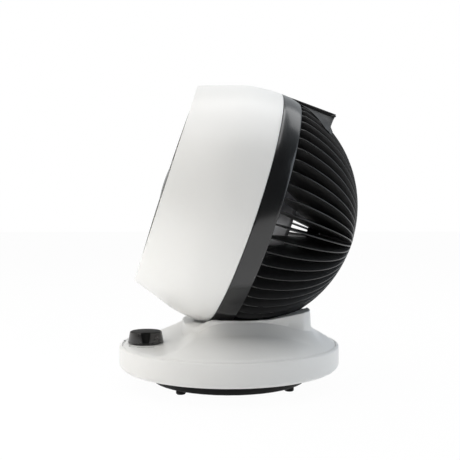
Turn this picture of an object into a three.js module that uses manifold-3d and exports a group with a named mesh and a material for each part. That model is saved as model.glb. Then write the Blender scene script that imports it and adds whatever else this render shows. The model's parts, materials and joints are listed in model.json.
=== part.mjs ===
// Table air circulator fan: a round base with a flared pedestal whose cradle carries a round head.
// Millimetres, +Z up. The front of the fan faces -Y, and the fan stands on z = 0.
import * as THREE from 'three';
import { mergeVertices } from 'three/addons/utils/BufferGeometryUtils.js';
import Module from 'manifold-3d';

// ---- Whole object ----
const BASE_AXIS_Y = -10;        // axis of the round base, in front of the middle of the whole
const FIT_GAP = 0.3;            // between pieces that touch
const WALL = 2.5;               // moulded plastic wall
const ROUND = 44;               // facets of a large turned piece
const MOTOR_ROUND = 20;         // facets of the motor's turned pieces
const SMALL_ROUND = 12;         // facets of a small turned piece

// ---- Base, heights above the underside of the base plate ----
const BASE_RADIUS = 120;
const PLATE_RADIUS = 85.3;
const PLATE_HEIGHT = 13.4;
const FOOT_STAND = 4;           // rubber feet lift the base plate by this much
const FOOT_RADIUS = 5;
const FOOT_CIRCLE = 79;
const FOOT_RECESS = 1;
const TUB_EDGE_ROUND = 6.5;
const TUB_TOP_ROUND = 2.6;
const TUB_OPENING_RADIUS = 58;
const TUB_LEDGE = 5;
const DECK_HEIGHT = 38.65;
const SEAM_INSET = 3.5;
const SEAM_RADIUS = BASE_RADIUS - SEAM_INSET;
const SCREW_CIRCLE = 68;
const SCREW_SHANK = 1.6;
const SCREW_SIDES = 8;
const SCREW_HEAD = 3.4;
const SCREW_HEAD_HEIGHT = 2.2;
const SCREW_BITE = 9;
const BOSS_RADIUS = 4.6;
const GLAND_RADIUS = 5;         // cord gland in the back of the tub
const GLAND_BORE = 3;
const GLAND_HEIGHT = 25;
const CAPACITOR_SIZE = [16, 38, 22];
const CAPACITOR_PLACE = [-38, 5];
const TERMINAL_SIZE = [16, 36, 12];
const TERMINAL_PLACE = [38, 5];
const TERMINAL_WAYS = 3;
const BOSS_OVER_SCREW = 3;

// ---- Pedestal, in plan about the base axis ----
const NECK_PLAN = [
  [0, -52], [24, -51], [46, -45], [60, -35], [66, -20], [66, 12], [66, 60], [62.5, 73], [50, 80.5], [0, 81.5],
];
const NECK_RIM = [[0, 63], [30, 63], [60, 68.5], [112, 71], [150, 79.5], [180, 79.5]];
const NECK_STATIONS = 56;
const NECK_SHOULDER = 2.5;
const NECK_DRAFT = 0.06;        // lean of the neck's wall
const NECK_FILLET = [4, 8];     // height of the fillet at the neck's foot, at the sides and at the rear
const NECK_FILLET_REACH = [7, 15];
const NECK_REAR = [112, 150];   // degrees from the front over which the sides' fillet becomes the rear's
const DOME_SLOPE = 0.7;         // rise of the base's domed top at its seam
const DOME_BEND = 0.005;        // fall of that rise towards the middle
const SCOOP_HALF_WIDTH = 70;    // level floor round the knob, hollowed out of the dome
const SCOOP_BACK = -80.5;
const SCOOP_CURVE = 45;         // radius of the slope that rises from that floor
const SCOOP_STEEPEST = 60;      // degrees
const SCOOP_STEP = 0.2;         // floor above the seam
const RIDGE_BLEND = 5;          // softness of the ridge between that slope and the dome
const CRADLE_FLOOR = 53.65;     // lowest point of the cradle
const CRADLE_CLEARANCE = 1;     // head to cradle over the whole tilt

// ---- Knob and its switch ----
const KNOB_INSET = 28.4;
const KNOB_SETOUT = BASE_RADIUS - KNOB_INSET;
const KNOB_FOOT_RADIUS = 19.25;
const KNOB_TOP_RADIUS = 17.4;
const KNOB_HEIGHT = 11.5;
const KNOB_CROWN = 1.5;
const KNOB_LIFT = 1.6;
const KNOB_NOTCH = 8;
const SPINDLE_RADIUS = 3;
const SPINDLE_LENGTH = 19;
const SWITCH_SIZE = [26, 24, 13];
const BUSH_RADIUS = 4.6;

// ---- Head, along its own axis from the seam of shell and rear grille ----
const HEAD_SETBACK = 13.3;
const HEAD_TILT = 18;           // degrees, front up
const TILT_RANGE = [0, 90];
const FRONT_DEPTH = 87.35;
const BELLY_RADIUS = 131.55;
const MOUTH_STEP = 20.85;
const MOUTH_RADIUS = BELLY_RADIUS - MOUTH_STEP;
const HEAD_HEIGHT = CRADLE_FLOOR + CRADLE_CLEARANCE + BELLY_RADIUS;
const CONE_LENGTH = 42.3;
const CONE_SLOPE = 0.354;
const BAND_WIDTH = 20;
const BAND_SLOPE = 0.1;         // the band narrows slower than this, from the belly to its rear edge
const FIN_INSET = 1.25;         // outline of the fins inside the belly
const DOME_RADIUS = BELLY_RADIUS - FIN_INSET;
const DOME_DEPTH = 126.6;
const SHELL_LAP = 8;

// ---- Rear grille ----
const FIN_COUNT = 60;
const FIN_PHASE = 2.2;
const FIN_THICKNESS = 1.6;
const FIN_DEPTH = 14.3;         // depth of the fins where their inner edges leave the band
const FIN_ROOT = 1.5;           // depth of the fins' ends in the band and the hub
const FIN_STEPS = 5;
const HUB_RADIUS = 31;
const HUB_LENGTH = 40.6;
const HUB_FRONT = DOME_DEPTH - HUB_LENGTH;

// ---- Tilt track, round the tilt axis ----
const TRACK_SINK = 0.6;         // track inside the fins' outline
const TRACK_DEPTH = 8.5;
const TRACK_FLOOR = 1.9;
const TRACK_LIPS = 2.4;
const TRACK_OUTER = Math.min(DOME_RADIUS, DOME_DEPTH) - TRACK_SINK;
const TRACK_INNER = TRACK_OUTER - TRACK_DEPTH;
const TRACK_CAVITY = [TRACK_INNER + TRACK_FLOOR, TRACK_OUTER - TRACK_LIPS];
const TRACK_HALF_WIDTH = 13;
const TRACK_CAVITY_HALF = 8.5;
const TRACK_SLIT_HALF = 4.6;
const POST_ANGLE = 12;          // degrees behind straight down
const SHOE_ARC = 7;             // degrees
const SHOE_GAP = 0.5;
const POST_SIZE = [34, 22];
const POST_HORNS = 6;           // rise of the post's saddle round the shoe

// ---- Carrying lip at the top of the rear grille ----
const LIP_LENGTH = 62;
const LIP_STEP = 0.15;          // lip's deck inside the belly at the seam
const LIP_FALL = 1;             // fall of the deck to its rear edge
const LIP_CREST = BELLY_RADIUS - LIP_STEP;
const LIP_END_RADIUS = LIP_CREST - LIP_FALL;
const LIP_FLANK = [52, 57];     // start and end of the flank where it has sunk into the fins
const LIP_FOOT = 7;             // spread of the rear face's foot
const LIP_HOLLOW = 4;           // depth of the hollow rear face
const LIP_HALF_ANGLE = 16;
const LIP_FLARE_ANGLE = 37;
const LIP_WALL = 2.2;

// ---- Front grille and duct ----
const GRILLE_RIM_WIDTH = 5.5;
const GRILLE_VANES = 27;
const GRILLE_SWEEP = 38;
const GRILLE_DEPTH = 8;
const GRILLE_BULGE = 4.5;
const GRILLE_CAP_RADIUS = 24;
const DUCT_STEP = 8.2;
const DUCT_RADIUS = MOUTH_RADIUS - DUCT_STEP;
const DUCT_REAR = -14;

// ---- Blade, motor and shaft ----
const BLADE_TIP_GAP = 4.5;
const BLADE_RADIUS = DUCT_RADIUS - BLADE_TIP_GAP;
const BLADE_COUNT = 5;
const BLADE_HUB_RADIUS = 27;
const BLADE_HUB_INSET = 6;      // hub's face behind the blades' front reach
const BLADE_HUB_ROUND = 5;
const BLADE_BOSS_RADIUS = 9;
const BLADE_SPREAD = [52, 58];  // degrees, at the hub and at the tip
const BLADE_SWEEP = 22;         // degrees
const BLADE_PITCH = [20, 16];
const BLADE_CAMBER = 3;
const BLADE_THICKNESS = [2.6, 1.4];
const BLADE_FRONT = -62;
const BLADE_REAR = -18;
const SHAFT_RADIUS = 4;
const SHAFT_FRONT = -63;
const NUT_RADIUS = 9;
const MOTOR_RADIUS = 42;
const MOTOR_FRONT = 8.5;
const MOTOR_REAR = 53;
const MOTOR_WALL = 2;
const BEARING_RADIUS = 11;
const BEARING_WIDTH = 6;
const STACK_LENGTH = 20;
const STACK_BORE = 22;
const AIR_GAP = 0.7;
const MOUNT_PLATE = [4, 8];
const MOUNT_ARMS = 5;

const wasm = await Module();
wasm.setup();

const rad = THREE.MathUtils.degToRad;
const smooth = (value, [from, to]) => THREE.MathUtils.smoothstep(value, from, to);

// ---- Materials ----
const finish = (color, roughness, metalness = 0) => (
  new THREE.MeshStandardMaterial({ color, roughness, metalness })
);
const WHITE = finish(0xf1f1ef, 0.35);
const BLACK = finish(0x1b1c1e, 0.45);
const SATIN = finish(0x2a2b2e, 0.35);
const RUBBER = finish(0x101011, 0.9);
const STEEL = finish(0x9a9c9f, 0.3, 1);
const IRON = finish(0x6d6f73, 0.5, 1);
const COPPER = finish(0xa8622e, 0.4, 1);
const SMOKE = finish(0x35373b, 0.3);
const NATURAL = finish(0xd9d4c6, 0.5);

// ---- Solids ----
function solidOf(geometry) {
  const bare = geometry.clone();
  bare.deleteAttribute('normal');
  bare.deleteAttribute('uv');
  const merged = mergeVertices(bare, 1e-4);
  const position = merged.attributes.position;
  const corners = Array.from(merged.index.array);
  const faces = [];
  for (let i = 0; i < corners.length; i += 3) {
    const [a, b, c] = corners.slice(i, i + 3);
    if (a !== b && b !== c && c !== a) {
      faces.push([a, b, c]);
    }
  }
  const point = (i) => new THREE.Vector3().fromBufferAttribute(position, i);
  const volume = faces.reduce((sum, [a, b, c]) => sum + point(a).dot(point(b).cross(point(c))), 0);
  const outward = volume < 0 ? faces.map(([a, b, c]) => [a, c, b]) : faces;
  const mesh = new wasm.Mesh({
    numProp: 3,
    vertProperties: new Float32Array(position.array),
    triVerts: new Uint32Array(outward.flat()),
  });
  return new wasm.Manifold(mesh);
}

function geometryOf(solid) {
  const mesh = solid.getMesh();
  const geometry = new THREE.BufferGeometry();
  geometry.setAttribute('position', new THREE.BufferAttribute(new Float32Array(mesh.vertProperties), 3));
  geometry.setIndex(Array.from(mesh.triVerts));
  geometry.computeVertexNormals();
  return geometry;
}

function piece(name, solid, material, parent) {
  const mesh = new THREE.Mesh(geometryOf(solid), material);
  mesh.name = name;
  parent.add(mesh);
  return mesh;
}

const joined = (solids) => solids.reduce((whole, next) => whole.add(next));
const cutBy = (solid, tools) => tools.reduce((rest, tool) => rest.subtract(tool), solid);

// A turned solid about Y. The profile is [radius, along] and starts and ends on the axis or closes itself.
function turned(profile, facets = ROUND) {
  const points = profile.map(([radius, along]) => new THREE.Vector2(radius, along));
  const onAxis = profile[0][0] === 0 && profile.at(-1)[0] === 0;
  if (!onAxis) {
    points.push(points[0].clone());
  }
  return solidOf(new THREE.LatheGeometry(points, facets));
}

// A turned solid that stands on the Z axis.
const upright = (profile, facets = ROUND) => turned(profile, facets).rotate([90, 0, 0]);

function ringAbout(inner, outer, low, high, facets = ROUND) {
  return [[inner, low], [outer, low], [outer, high], [inner, high]];
}

const disc = (radius, low, high) => [[0, low], [radius, low], [radius, high], [0, high]];

function extruded(outline, depth) {
  const shape = new THREE.Shape(outline.map(([x, y]) => new THREE.Vector2(x, y)));
  return solidOf(new THREE.ExtrudeGeometry(shape, { depth, bevelEnabled: false }));
}

function block([x, y, z], [cx, cy, cz] = [0, 0, 0]) {
  return solidOf(new THREE.BoxGeometry(x, y, z).translate(cx, cy, cz));
}

// A closed skin over rings of equal count, its two ends closed by a fan to the ring's middle or a given tip.
function skin(rings, tips = []) {
  const count = rings[0].length;
  const vertices = rings.flat();
  const faces = [];
  for (let j = 0; j + 1 < rings.length; j += 1) {
    for (let i = 0; i < count; i += 1) {
      const a = j * count + i;
      const b = j * count + (i + 1) % count;
      faces.push([a, b, b + count], [a, b + count, a + count]);
    }
  }
  const middle = (ring) => ring.reduce((sum, p) => sum.add(p), new THREE.Vector3()).divideScalar(count);
  const close = (ring, start, tip, flip) => {
    const centre = vertices.push(tip ?? middle(ring)) - 1;
    for (let i = 0; i < count; i += 1) {
      const a = start + i;
      const b = start + (i + 1) % count;
      faces.push(flip ? [b, a, centre] : [a, b, centre]);
    }
  };
  close(rings[0], 0, tips[0], true);
  close(rings.at(-1), (rings.length - 1) * count, tips[1], false);
  const geometry = new THREE.BufferGeometry().setFromPoints(vertices);
  geometry.setIndex(faces.flat());
  return solidOf(geometry);
}

// ---- Outline of the head: radius at a place along its axis ----
const domeRadius = (along) => DOME_RADIUS * Math.sqrt(Math.max(0, 1 - (along / DOME_DEPTH) ** 2));
const domeAlong = (radius) => DOME_DEPTH * Math.sqrt(Math.max(0, 1 - (radius / DOME_RADIUS) ** 2));

// Distance from the tilt axis to the head's surface, at an angle from its belly towards its rear.
function headReach(angle) {
  const across = Math.cos(angle);
  const back = Math.sin(angle);
  if (back >= 0) {
    const dome = 1 / Math.hypot(across / DOME_RADIUS, back / DOME_DEPTH);
    return Math.max(dome, BELLY_RADIUS * (1 - BAND_SLOPE * back));
  }
  const coneStart = MOUTH_RADIUS + CONE_SLOPE * FRONT_DEPTH;
  return Math.min(coneStart / (across - CONE_SLOPE * back), BELLY_RADIUS / across);
}

// Greatest distance of the head's surface from the tilt axis in one direction, over the whole tilt.
function sweptReach(direction) {
  const steps = 18;
  let farthest = 0;
  for (let i = 0; i <= steps; i += 1) {
    const tilt = rad(THREE.MathUtils.lerp(TILT_RANGE[0], TILT_RANGE[1], i / steps));
    const back = direction.y * Math.cos(tilt) - direction.z * Math.sin(tilt);
    farthest = Math.max(farthest, headReach(Math.asin(THREE.MathUtils.clamp(back, -1, 1))));
  }
  return farthest;
}

// The space the head sweeps while it tilts, grown by a clearance.
function sweptHead(clearance) {
  const turns = 60;
  const slices = 30;
  const reach = (direction) => direction.multiplyScalar(sweptReach(direction) + clearance);
  const rings = [];
  for (let j = 1; j < slices; j += 1) {
    const side = Math.PI * (j / slices - 0.5);
    const flat = Math.cos(side);
    rings.push(Array.from({ length: turns }, (_, i) => {
      const turn = 2 * Math.PI * i / turns;
      return reach(new THREE.Vector3(Math.sin(side), flat * Math.sin(turn), flat * Math.cos(turn)));
    }));
  }
  const ends = [new THREE.Vector3(-1, 0, 0), new THREE.Vector3(1, 0, 0)].map(reach);
  return skin(rings, ends).translate([0, HEAD_SETBACK, HEAD_HEIGHT]);
}

// ---- Pedestal cover: deck, flared neck and cradle ----
function rimHeight(azimuth) {
  const degrees = Math.abs(THREE.MathUtils.radToDeg(azimuth));
  const next = Math.max(1, NECK_RIM.findIndex(([angle]) => angle >= degrees - 1e-6));
  const [[from, low], [to, high]] = [NECK_RIM[next - 1], NECK_RIM[next]];
  return THREE.MathUtils.lerp(low, high, smooth(degrees, [from, to]));
}

// Height of the base's domed top at a distance from the base axis.
function domeTop(radius) {
  const inward = Math.max(0, SEAM_RADIUS - radius);
  return DECK_HEIGHT + DOME_SLOPE * inward - DOME_BEND * inward ** 2;
}

// Height of the hollow round the knob: a level floor with a slope that curves up from its edges.
function scoopTop(x, y) {
  const away = Math.hypot(Math.max(0, Math.abs(x) - SCOOP_HALF_WIDTH), Math.max(0, y - SCOOP_BACK));
  const run = Math.min(away, SCOOP_CURVE * Math.sin(rad(SCOOP_STEEPEST)));
  const slope = (away - run) * Math.tan(rad(SCOOP_STEEPEST));
  return DECK_HEIGHT + SCOOP_STEP + SCOOP_CURVE - Math.sqrt(SCOOP_CURVE ** 2 - run ** 2) + slope;
}

// The lesser of two heights, with a soft change between them.
function softLeast(first, second) {
  const share = THREE.MathUtils.clamp(0.5 + (second - first) / (2 * RIDGE_BLEND), 0, 1);
  return THREE.MathUtils.lerp(second, first, share) - RIDGE_BLEND * share * (1 - share);
}

function neckPlan(stations) {
  const half = NECK_PLAN.map(([x, y]) => new THREE.Vector3(x, y, 0));
  const mirrored = NECK_PLAN.slice(1, -1).reverse().map(([x, y]) => new THREE.Vector3(-x, y, 0));
  const outline = new THREE.CatmullRomCurve3([...half, ...mirrored], true, 'catmullrom', 0.5);
  return outline.getSpacedPoints(stations).slice(0, -1);
}

// The body of the cover, drawn in by an offset on its top and sides, and running down to a given height.
function neckBody(offset, floor, stations, flareSteps) {
  const edge = SEAM_RADIUS - FIT_GAP;
  const shoulderSteps = 2;
  const columns = neckPlan(stations).map((point) => {
    const across = new THREE.Vector3(point.x, point.y, 0).normalize();
    const azimuth = Math.atan2(point.x, -point.y);
    const wall = point.length();
    const rim = rimHeight(azimuth);
    const rear = smooth(Math.abs(THREE.MathUtils.radToDeg(azimuth)), NECK_REAR);
    const rise = THREE.MathUtils.lerp(...NECK_FILLET, rear);
    const reach = THREE.MathUtils.lerp(...NECK_FILLET_REACH, rear);
    const place = (radius, height) => across.clone().multiplyScalar(radius - offset).setZ(height - offset);
    const surface = (radius) => {
      const near = Math.max(0, 1 - (radius - wall) / reach);
      return softLeast(domeTop(radius) + rise * near ** 1.6, scoopTop(across.x * radius, across.y * radius));
    };
    const foot = Math.min(surface(wall), rim - 1);
    const column = [place(edge, floor + offset)];
    for (let i = flareSteps; i > 0; i -= 1) {
      const radius = THREE.MathUtils.lerp(wall, edge, (i / flareSteps) ** 1.3);
      column.push(place(radius, surface(radius)));
    }
    column.push(place(wall, foot));
    const shoulder = Math.min(NECK_SHOULDER, rim - foot - 0.5);
    const top = wall - NECK_DRAFT * (rim - foot);
    for (let i = 0; i <= shoulderSteps; i += 1) {
      const turn = Math.PI / 2 * i / shoulderSteps;
      column.push(place(top - shoulder * (1 - Math.cos(turn)), rim - shoulder * (1 - Math.sin(turn))));
    }
    return column;
  });
  const rings = columns[0].map((_, j) => columns.map((column) => column[j]));
  const top = new THREE.Vector3(0, 0, NECK_RIM[0][1] - offset);
  return skin(rings, [new THREE.Vector3(0, 0, floor), top]);
}

const trackPoint = (radius, degrees) => [radius * Math.sin(rad(degrees)), -radius * Math.cos(rad(degrees))];

// A slab bent round the tilt axis: angles are degrees behind straight down.
function bentSlab(inner, outer, from, to, halfWidth, step = 4) {
  const steps = Math.max(1, Math.round((to - from) / step));
  const angles = Array.from({ length: steps + 1 }, (_, i) => THREE.MathUtils.lerp(from, to, i / steps));
  const outline = [
    ...angles.map((degrees) => trackPoint(outer, degrees)),
    ...angles.toReversed().map((degrees) => trackPoint(inner, degrees)),
  ];
  return extruded(outline, 2 * halfWidth).translate([0, 0, -halfWidth]).rotate([90, 0, 90]);
}

function pedestalCover() {
  const underside = DECK_HEIGHT - WALL;
  const outer = neckBody(0, underside, NECK_STATIONS, 6);
  const hollow = neckBody(WALL, underside - 1, 32, 4).subtract(sweptHead(CRADLE_CLEARANCE + WALL));
  const bushHole = upright(disc(BUSH_RADIUS + FIT_GAP, underside - 1, DECK_HEIGHT + WALL), SMALL_ROUND);
  const postWindow = bentSlab(
    TRACK_OUTER, HEAD_HEIGHT, POST_ANGLE - SHOE_ARC / 2 - 1, POST_ANGLE + SHOE_ARC / 2 + 1, TRACK_SLIT_HALF, 3,
  ).translate([0, HEAD_SETBACK, HEAD_HEIGHT]);
  const head = sweptHead(CRADLE_CLEARANCE);
  return cutBy(outer, [hollow, head, bushHole.translate([0, -KNOB_SETOUT, 0]), postWindow]);
}

// ---- Base tub, plate and feet ----
function around(count, radius, phase, make) {
  return Array.from({ length: count }, (_, i) => {
    const angle = rad(phase + 360 * i / count);
    return make([radius * Math.cos(angle), radius * Math.sin(angle), 0], i);
  });
}

function baseTub() {
  const floor = PLATE_HEIGHT + FIT_GAP;
  const ledge = DECK_HEIGHT - WALL - FIT_GAP;
  const inside = BASE_RADIUS - WALL;
  const arc = (cx, cy, radius, from, to, steps) => Array.from({ length: steps + 1 }, (_, i) => {
    const angle = rad(THREE.MathUtils.lerp(from, to, i / steps));
    return [cx + radius * Math.cos(angle), cy + radius * Math.sin(angle)];
  });
  const profile = [
    [TUB_OPENING_RADIUS, floor],
    ...arc(BASE_RADIUS - TUB_EDGE_ROUND, floor + TUB_EDGE_ROUND, TUB_EDGE_ROUND, -90, 0, 2),
    ...arc(BASE_RADIUS - TUB_TOP_ROUND, DECK_HEIGHT - TUB_TOP_ROUND, TUB_TOP_ROUND, 0, 90, 2),
    [SEAM_RADIUS, DECK_HEIGHT],
    [SEAM_RADIUS, ledge],
    [SEAM_RADIUS - TUB_LEDGE, ledge],
    [SEAM_RADIUS - TUB_LEDGE, ledge - WALL],
    [inside, ledge - WALL - 3],
    [inside, floor + TUB_EDGE_ROUND],
    [inside - TUB_EDGE_ROUND + WALL, floor + WALL],
    [TUB_OPENING_RADIUS, floor + WALL],
  ];
  const boss = upright(disc(BOSS_RADIUS, floor + 1, floor + SCREW_BITE + BOSS_OVER_SCREW), SMALL_ROUND);
  const hole = upright(disc(SCREW_SHANK + FIT_GAP, floor - 1, floor + SCREW_BITE + 1), SCREW_SIDES);
  const bosses = around(4, SCREW_CIRCLE, 0, (at) => boss.translate(at));
  const holes = around(4, SCREW_CIRCLE, 0, (at) => hole.translate(at));
  return cutBy(joined([upright(profile), ...bosses]), [...holes, glandHole().translate([0, 0, GLAND_HEIGHT])]);
}

function basePlate() {
  const pan = [
    [0, 0], [PLATE_RADIUS - 1.2, 0], [PLATE_RADIUS, 1.2], [PLATE_RADIUS, PLATE_HEIGHT],
    [PLATE_RADIUS - WALL, PLATE_HEIGHT], [PLATE_RADIUS - WALL, WALL], [0, WALL],
  ];
  const post = upright(disc(BOSS_RADIUS, 1, PLATE_HEIGHT), SMALL_ROUND);
  const sink = upright([
    [0, -1], [SCREW_HEAD + FIT_GAP, -1], [SCREW_HEAD + FIT_GAP, SCREW_HEAD_HEIGHT + 2 * FIT_GAP],
    [SCREW_SHANK + FIT_GAP, SCREW_HEAD_HEIGHT + 2 * FIT_GAP], [SCREW_SHANK + FIT_GAP, PLATE_HEIGHT + 1],
    [0, PLATE_HEIGHT + 1],
  ], SCREW_SIDES);
  const recess = upright(disc(FOOT_RADIUS + FIT_GAP, -1, FOOT_RECESS), SMALL_ROUND);
  const posts = around(4, SCREW_CIRCLE, 0, (at) => post.translate(at));
  const sinks = around(4, SCREW_CIRCLE, 0, (at) => sink.translate(at));
  const recesses = around(4, FOOT_CIRCLE, 45, (at) => recess.translate(at));
  return cutBy(joined([upright(pan), ...posts]), [...sinks, ...recesses]);
}

function baseScrew() {
  return upright([
    [0, FIT_GAP], [SCREW_HEAD, FIT_GAP], [SCREW_HEAD, FIT_GAP + SCREW_HEAD_HEIGHT],
    [SCREW_SHANK, FIT_GAP + SCREW_HEAD_HEIGHT], [SCREW_SHANK, PLATE_HEIGHT + SCREW_BITE],
    [0, PLATE_HEIGHT + SCREW_BITE],
  ], SCREW_SIDES);
}

function foot() {
  const top = FOOT_RECESS - FIT_GAP;
  return upright([[0, -FOOT_STAND], [FOOT_RADIUS - 0.8, -FOOT_STAND], [FOOT_RADIUS, 0.8 - FOOT_STAND],
    [FOOT_RADIUS, top], [0, top]], SMALL_ROUND);
}

// ---- Cord gland, capacitor and terminal block ----
function glandHole() {
  return turned(disc(GLAND_RADIUS + FIT_GAP, BASE_RADIUS - 2 * WALL, BASE_RADIUS + 1), SMALL_ROUND);
}

function cordGland() {
  const inside = BASE_RADIUS - WALL;
  const flange = GLAND_RADIUS + 2;
  return turned([[GLAND_BORE, inside - 2], [GLAND_RADIUS, inside - 2],
    [GLAND_RADIUS, BASE_RADIUS + FIT_GAP], [flange, BASE_RADIUS + FIT_GAP], [flange - 0.6, BASE_RADIUS + 1.6],
    [GLAND_BORE + 0.6, BASE_RADIUS + 1.6]], SMALL_ROUND);
}

function motorCapacitor() {
  return block(CAPACITOR_SIZE, [...CAPACITOR_PLACE, WALL + FIT_GAP + CAPACITOR_SIZE[2] / 2]);
}

function terminalBlock() {
  const [x, y, z] = TERMINAL_SIZE;
  const low = WALL + FIT_GAP;
  const body = block(TERMINAL_SIZE, [TERMINAL_PLACE[0], TERMINAL_PLACE[1], low + z / 2]);
  const wells = Array.from({ length: TERMINAL_WAYS }, (_, i) => {
    const along = TERMINAL_PLACE[1] + y * ((i + 0.5) / TERMINAL_WAYS - 0.5);
    return block([x * 0.35, y / TERMINAL_WAYS * 0.6, z], [TERMINAL_PLACE[0], along, low + z * 0.9]);
  });
  return cutBy(body, wells);
}

// ---- Knob and rotary switch ----
function controlKnob() {
  const low = DECK_HEIGHT + KNOB_LIFT;
  const high = low + KNOB_HEIGHT;
  const body = upright([
    [0, low], [KNOB_FOOT_RADIUS, low], [KNOB_TOP_RADIUS + 0.4, high - 1.2], [KNOB_TOP_RADIUS - 0.9, high],
    [KNOB_TOP_RADIUS * 0.55, high + KNOB_CROWN * 0.75], [0, high + KNOB_CROWN]], 40);
  const notch = extruded([[-KNOB_NOTCH / 2 + 1.6, low - 1], [KNOB_NOTCH / 2 - 1.6, low - 1],
    [KNOB_NOTCH / 2, high - 2], [-KNOB_NOTCH / 2, high - 2]], 6)
    .rotate([90, 0, 90]).translate([KNOB_TOP_RADIUS - 1.4, 0, 0]);
  const bore = upright(disc(SPINDLE_RADIUS + FIT_GAP, low - 1, low + 8), SMALL_ROUND);
  const relief = upright(ringAbout(BUSH_RADIUS + 1, KNOB_FOOT_RADIUS - WALL, low - 1, low + 3), 32);
  return cutBy(body, [notch, bore, relief]);
}

function switchSpindle() {
  const top = DECK_HEIGHT + KNOB_LIFT + 8 - FIT_GAP;
  return upright(disc(SPINDLE_RADIUS, top - SPINDLE_LENGTH, top), SMALL_ROUND);
}

function rotarySwitch() {
  const top = DECK_HEIGHT - WALL - FIT_GAP;
  const body = block(SWITCH_SIZE, [0, 0, top - SWITCH_SIZE[2] / 2]);
  const bush = upright(disc(BUSH_RADIUS, top - 1, DECK_HEIGHT + KNOB_LIFT - FIT_GAP), SMALL_ROUND);
  const floor = top - SWITCH_SIZE[2] + 2;
  const bore = upright(disc(SPINDLE_RADIUS + FIT_GAP, floor, DECK_HEIGHT + KNOB_LIFT + 1), SMALL_ROUND);
  return body.add(bush).subtract(bore);
}

// ---- Front shell ----
function shellOutline(offset) {
  const curve = new THREE.Path();
  const coneEnd = -FRONT_DEPTH + CONE_LENGTH;
  const coneTop = MOUTH_RADIUS + CONE_SLOPE * CONE_LENGTH;
  const crown = coneEnd + (BELLY_RADIUS - coneTop) / CONE_SLOPE;
  curve.moveTo(MOUTH_RADIUS - offset, -FRONT_DEPTH);
  curve.lineTo(coneTop - offset, coneEnd);
  curve.quadraticCurveTo(BELLY_RADIUS - offset, crown, BELLY_RADIUS - offset, -FIT_GAP);
  return curve.getPoints(4).map((p) => [p.x, p.y]);
}

function frontShell() {
  return turned([...shellOutline(0), ...shellOutline(WALL).toReversed()]);
}

// ---- Rear grille: band, fins, hub, tilt track and carrying lip ----
function fin() {
  const first = Math.asin(BAND_WIDTH / DOME_DEPTH);
  const last = Math.acos((HUB_RADIUS - FIN_ROOT) / DOME_RADIUS);
  const back = Array.from({ length: FIN_STEPS + 1 }, (_, i) => {
    const angle = THREE.MathUtils.lerp(first, last, i / FIN_STEPS);
    return [DOME_RADIUS * Math.cos(angle), DOME_DEPTH * Math.sin(angle)];
  });
  const root = BAND_WIDTH - FIN_ROOT;
  const outline = [
    [domeRadius(BAND_WIDTH) - FIN_ROOT, root], ...back, [HUB_RADIUS - FIN_ROOT, HUB_FRONT + FIN_ROOT],
    [DOME_RADIUS - FIN_DEPTH, root],
  ];
  return extruded(outline, FIN_THICKNESS).translate([0, 0, -FIN_THICKNESS / 2]);
}

function lipSection(degrees) {
  const outwards = (Math.abs(degrees) - LIP_HALF_ANGLE) / (LIP_FLARE_ANGLE - LIP_HALF_ANGLE);
  const flare = THREE.MathUtils.clamp(outwards, 0, 1);
  const rise = (1 - flare) ** 1.6;
  const start = THREE.MathUtils.lerp(2 * FIT_GAP, LIP_FLANK[0], flare ** 0.55);
  const end = THREE.MathUtils.lerp(LIP_LENGTH, LIP_FLANK[1], flare ** 0.7);
  const crest = (along) => THREE.MathUtils.lerp(domeRadius(along) + 0.2,
    THREE.MathUtils.lerp(LIP_CREST, LIP_END_RADIUS, along / LIP_LENGTH), rise);
  const foot = end + LIP_FOOT;
  const hollow = LIP_HOLLOW * rise;
  const height = crest(end) - domeRadius(end);
  const drop = Math.max(height * 0.5, LIP_WALL - 0.4);
  const middle = (start + end) / 2;
  const outer = [
    [start, crest(start)], [middle, crest(middle)], [end, crest(end)],
    [end - 0.3, crest(end) - 1.4], [end - hollow * 0.8, crest(end) - drop * 0.6],
    [end - hollow, crest(end) - drop],
    [end - hollow / 2 + 2, domeRadius(end) + height * 0.2 - 0.4], [foot, domeRadius(foot) - 0.2],
  ];
  const inner = [
    [foot - 1, domeRadius(foot) - LIP_WALL - 1], [end - hollow / 2 - 1, domeRadius(end) - LIP_WALL],
    [end - hollow - LIP_WALL, crest(end) - drop - 1], [end - hollow - LIP_WALL, crest(end) - LIP_WALL - 0.4],
    [middle, crest(middle) - LIP_WALL], [start, crest(start) - LIP_WALL],
  ];
  const angle = rad(degrees);
  return [...outer, ...inner].map(([along, radius]) => (
    new THREE.Vector3(radius * Math.sin(angle), along, radius * Math.cos(angle))
  ));
}

function carryingLip() {
  const rings = [];
  const steps = 14;
  for (let i = 0; i <= steps; i += 1) {
    rings.push(lipSection(LIP_FLARE_ANGLE * (2 * i / steps - 1)));
  }
  return skin(rings);
}

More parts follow.
